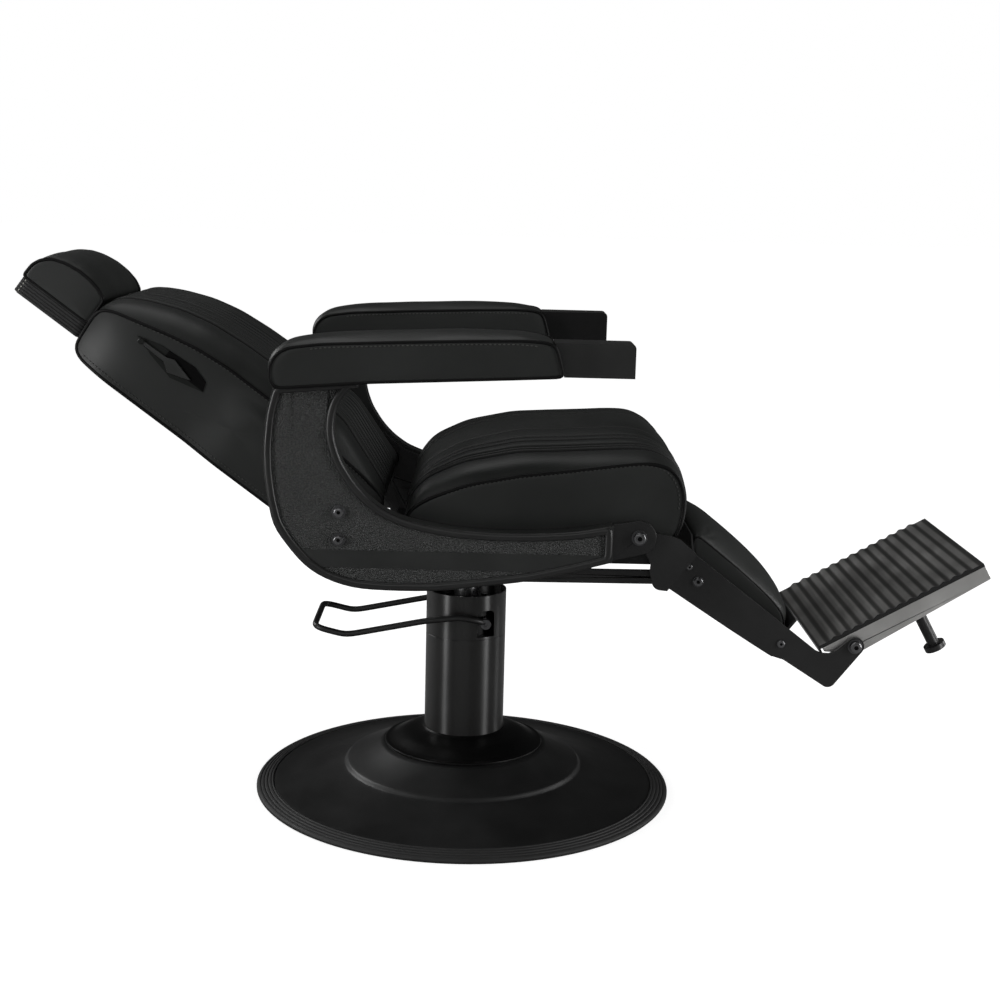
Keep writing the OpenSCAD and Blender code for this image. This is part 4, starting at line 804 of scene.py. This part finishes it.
# Foot lever: one bent round bar. The shares are (back, up, out) from its shaft
lever_shares = [
    [0, 0, 0.767], [0.043, 0.02, 0.887], [0.142, 0.047, 0.965], [0.353, 0.025, 1], [0.779, -0.062, 1],
    [0.828, -0.066, 1], [0.955, -0.035, 1], [0.987, -0.027, 0.955], [1, -0.022, 0.84]]
shaft_x, shaft_z, lever_reach, lever_half_width = 31.5, 282, 264.5, 75
leg = [Vector((shaft_x - lever_reach * b, -lever_half_width * o, shaft_z + lever_reach * u))
       for b, u, o in lever_shares]
route = leg + [Vector((p.x, -p.y, p.z)) for p in reversed(leg)]
route = soften(spread(route, 150, False, axes=3), 4, closed=False)
bar = cord_piece("lever_bar_round", [p * mm for p in route], 4.75, False, looks["satin_steel"], "lever",
                 "satin_steel", sides=16)
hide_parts("lever_bar")

# The collar of the pump's barrel, seen in the dark through the lever's window, with its steel painted dark as
# shade
collar_section = ((45.1, 289.5), (50, 289.5), (50, 306), (45.1, 306))
collar = [[in_seat(r * math.cos(q), r * math.sin(q), z) for r, z in collar_section] for q in circle(64)]
ring_piece("pump_barrel_collar", collar + collar[:1], looks["shaded_steel"], "base", joined=True,
           smooth=False)


# Socket bolts: a domed head and a hexagonal recess on the outer face of each joint. The sections are
# (distance from the axis, height) as shares of the head's radius, and end on the axis
head_section = ((0.01, -0.05), (1, -0.05), (1, 0.16), (0.94, 0.24), (0.84, 0.29), (0.62, 0.33), (0.01, 0.33))
recess_section = ((0.01, 0.25), (0.42, 0.25), (0.42, 0.36), (0.01, 0.36))


def socket_head(name, place, side, radius, body):
    """A head standing on place, facing along y by side (-1 or 1), and its recess; radius in millimetres."""
    parts = (("", head_section, 32, "bolt_head"), ("_socket", recess_section, 6, "socket"))
    for end, section, count, look in parts:
        rings = [[place + Vector((share * math.cos(q), side * rise, share * math.sin(q))) * radius * mm
                  for q in circle(count)] for share, rise in section]
        ring_piece(name + end, rings, looks[look], body, smooth=False)


bolts = {  # (x, distance to the side, z, radius, body)
    "frame_bolt_rear": (-176, 307.4, 503, 6.6, "seat"),
    "frame_bolt_low": (-176, 307.4, 464, 6.6, "seat"),
    "pivot_bolt": (243, 285.4, 471, 8.4, "seat"),
    "leg_bolt_small": (328.7, 176.4, 407, 4.2, "legrest"),
    "leg_bolt_main": (342.3, 176.9, 385.2, 6.8, "legrest"),
    "leg_bolt_low": (470, 176.9, 293.1, 5.4, "legrest"),
    "foot_bolt": (580.8, 180.4, 291.3, 8.4, "legrest"),
}
for word, side in (("right", -1), ("left", 1)):
    for name, (x, off, z, radius, body) in bolts.items():
        socket_head("%s_%s" % (name, word), in_seat(x, side * off, z), side, radius, body)


# Stitches
below_welt = Vector((0, 0, -2.5 * mm))
for word, mid in arm_middle.items():
    arm_runs = []
    for side in (-1, 1):
        run = side_run(pad_line, 0.93, mid + side * 53.9, in_seat, lambda p, q: q > 728 and -225 < p < 105)
        arm_runs.append([(place + below_welt, sideways(side)) for place, _ in run])
    stitched("arm_stitches_" + word, arm_runs, looks["thread"], "seat")
head_runs = [[(in_back(b, y, 596.5), sideways(y)) for b in (-50, -40, -27)] for y in (-126.6, 126.6)]
stitched("headrest_stitches", head_runs, looks["pale_thread"], "headrest", pitch=4.5, length=3)
seat_runs = [side_run(seat_line, 0.962, y, in_seat, lambda p, q: q > 505 and p > -40) for y in (-260.2, 260.2)]
stitched("seat_stitches", seat_runs, looks["dark_thread"], "seat")
back_runs = []
for y in (-195.7, 195.7):
    back_runs.append(side_run(back_line, 0.965, y, in_back_cover, lambda p, q: p > 30 and 20 < q < 478))
    back_runs.append([(in_back_cover(-55, y, a), sideways(y)) for a in range(6, 470, 12)])
stitched("back_stitches", back_runs, looks["dark_thread"], "back")

# Camera, as the photograph was taken
tilt, roll, yaw = map(math.radians, (10.85, 1.47, 0.6))
ahead = Vector((math.sin(yaw) * math.cos(tilt), math.cos(yaw) * math.cos(tilt), -math.sin(tilt)))
level = Vector((math.cos(yaw), -math.sin(yaw), 0))
over = level.cross(ahead)
right = math.cos(roll) * level + math.sin(roll) * over
up = -math.sin(roll) * level + math.cos(roll) * over
view = bpy.data.cameras.new("photograph")
view.sensor_width = 36
view.sensor_fit = "HORIZONTAL"
view.lens = 58.68
view.clip_end = 60
camera = bpy.data.objects.new("photograph", view)
camera.matrix_world = Matrix((right, up, -ahead)).transposed().to_4x4()
camera.matrix_world.translation = Vector((0.023, -2.51, 0.948))
bpy.context.scene.collection.objects.link(camera)
bpy.context.scene.camera = camera

# Studio
bm = bmesh.new()
bmesh.ops.create_grid(bm, x_segments=2, y_segments=2, size=30)
mesh = bpy.data.meshes.new("studio_floor")
bm.to_mesh(mesh)
bm.free()
floor = bpy.data.objects.new("studio_floor", mesh)
bpy.context.scene.collection.objects.link(floor)
white = bpy.data.materials.new("white floor")
white.use_nodes = True
tree = white.node_tree
far = add(tree, "VectorMath", {0: point(tree)}, operation="LENGTH").outputs["Value"]
seen = add(tree, "LightPath").outputs["Is Camera Ray"]
feed(tree, surface(white), {
    "Base Color": (0.4, 0.4, 0.4, 1), "Roughness": 0.9, "Specular IOR Level": 0.0,
    "Emission Color": (1, 1, 1, 1),
    "Emission Strength": maths(tree, "MULTIPLY", seen, ranged(tree, far, 0.45, 1.5, 0.84, 1.0))})
mesh.materials.append(white)

world = bpy.data.worlds.new("studio")
bpy.context.scene.world = world
world.use_nodes = True
tree = world.node_tree
seen = add(tree, "LightPath").outputs["Is Camera Ray"]
feed(tree, tree.nodes["Background"], {
    "Color": (1, 1, 1, 1), "Strength": ranged(tree, seen, 0.0, 1.0, 0.028, 1.0)})


def soft_light(name, place, target, size, power):
    """A lamp as wide and high as size, in metres, turned from its place to a target; power in watts."""
    data = bpy.data.lights.new(name, "AREA")
    data.shape = "RECTANGLE"
    data.size, data.size_y = size
    data.energy = power
    obj = bpy.data.objects.new(name, data)
    bpy.context.scene.collection.objects.link(obj)
    look_at = (Vector(target) - Vector(place)).to_track_quat("-Z", "Y")
    obj.matrix_world = Matrix.Translation(place) @ look_at.to_matrix().to_4x4()


soft_light("overhead", (-0.4, 0.0, 2.9), (0, 0, 0.4), (3.0, 1.4), 18)
soft_light("front_fill", (-0.6, -4.3, 1.9), (0, 0, 0.5), (3.2, 2.0), 18)
soft_light("front_left", (-2.6, -1.7, 1.05), (0, 0, 0.5), (0.6, 2.1), 40)
soft_light("front_right", (2.7, -1.4, 1.05), (0, 0, 0.5), (0.6, 2.1), 42)
soft_light("side_right", (2.8, 0.7, 1.1), (0, 0, 0.4), (0.5, 2.1), 22)
soft_light("behind_left", (-2.6, 1.5, 1.8), (0, 0, 0.6), (1.6, 1.4), 34)

bpy.context.scene.view_settings.view_transform = "Standard"
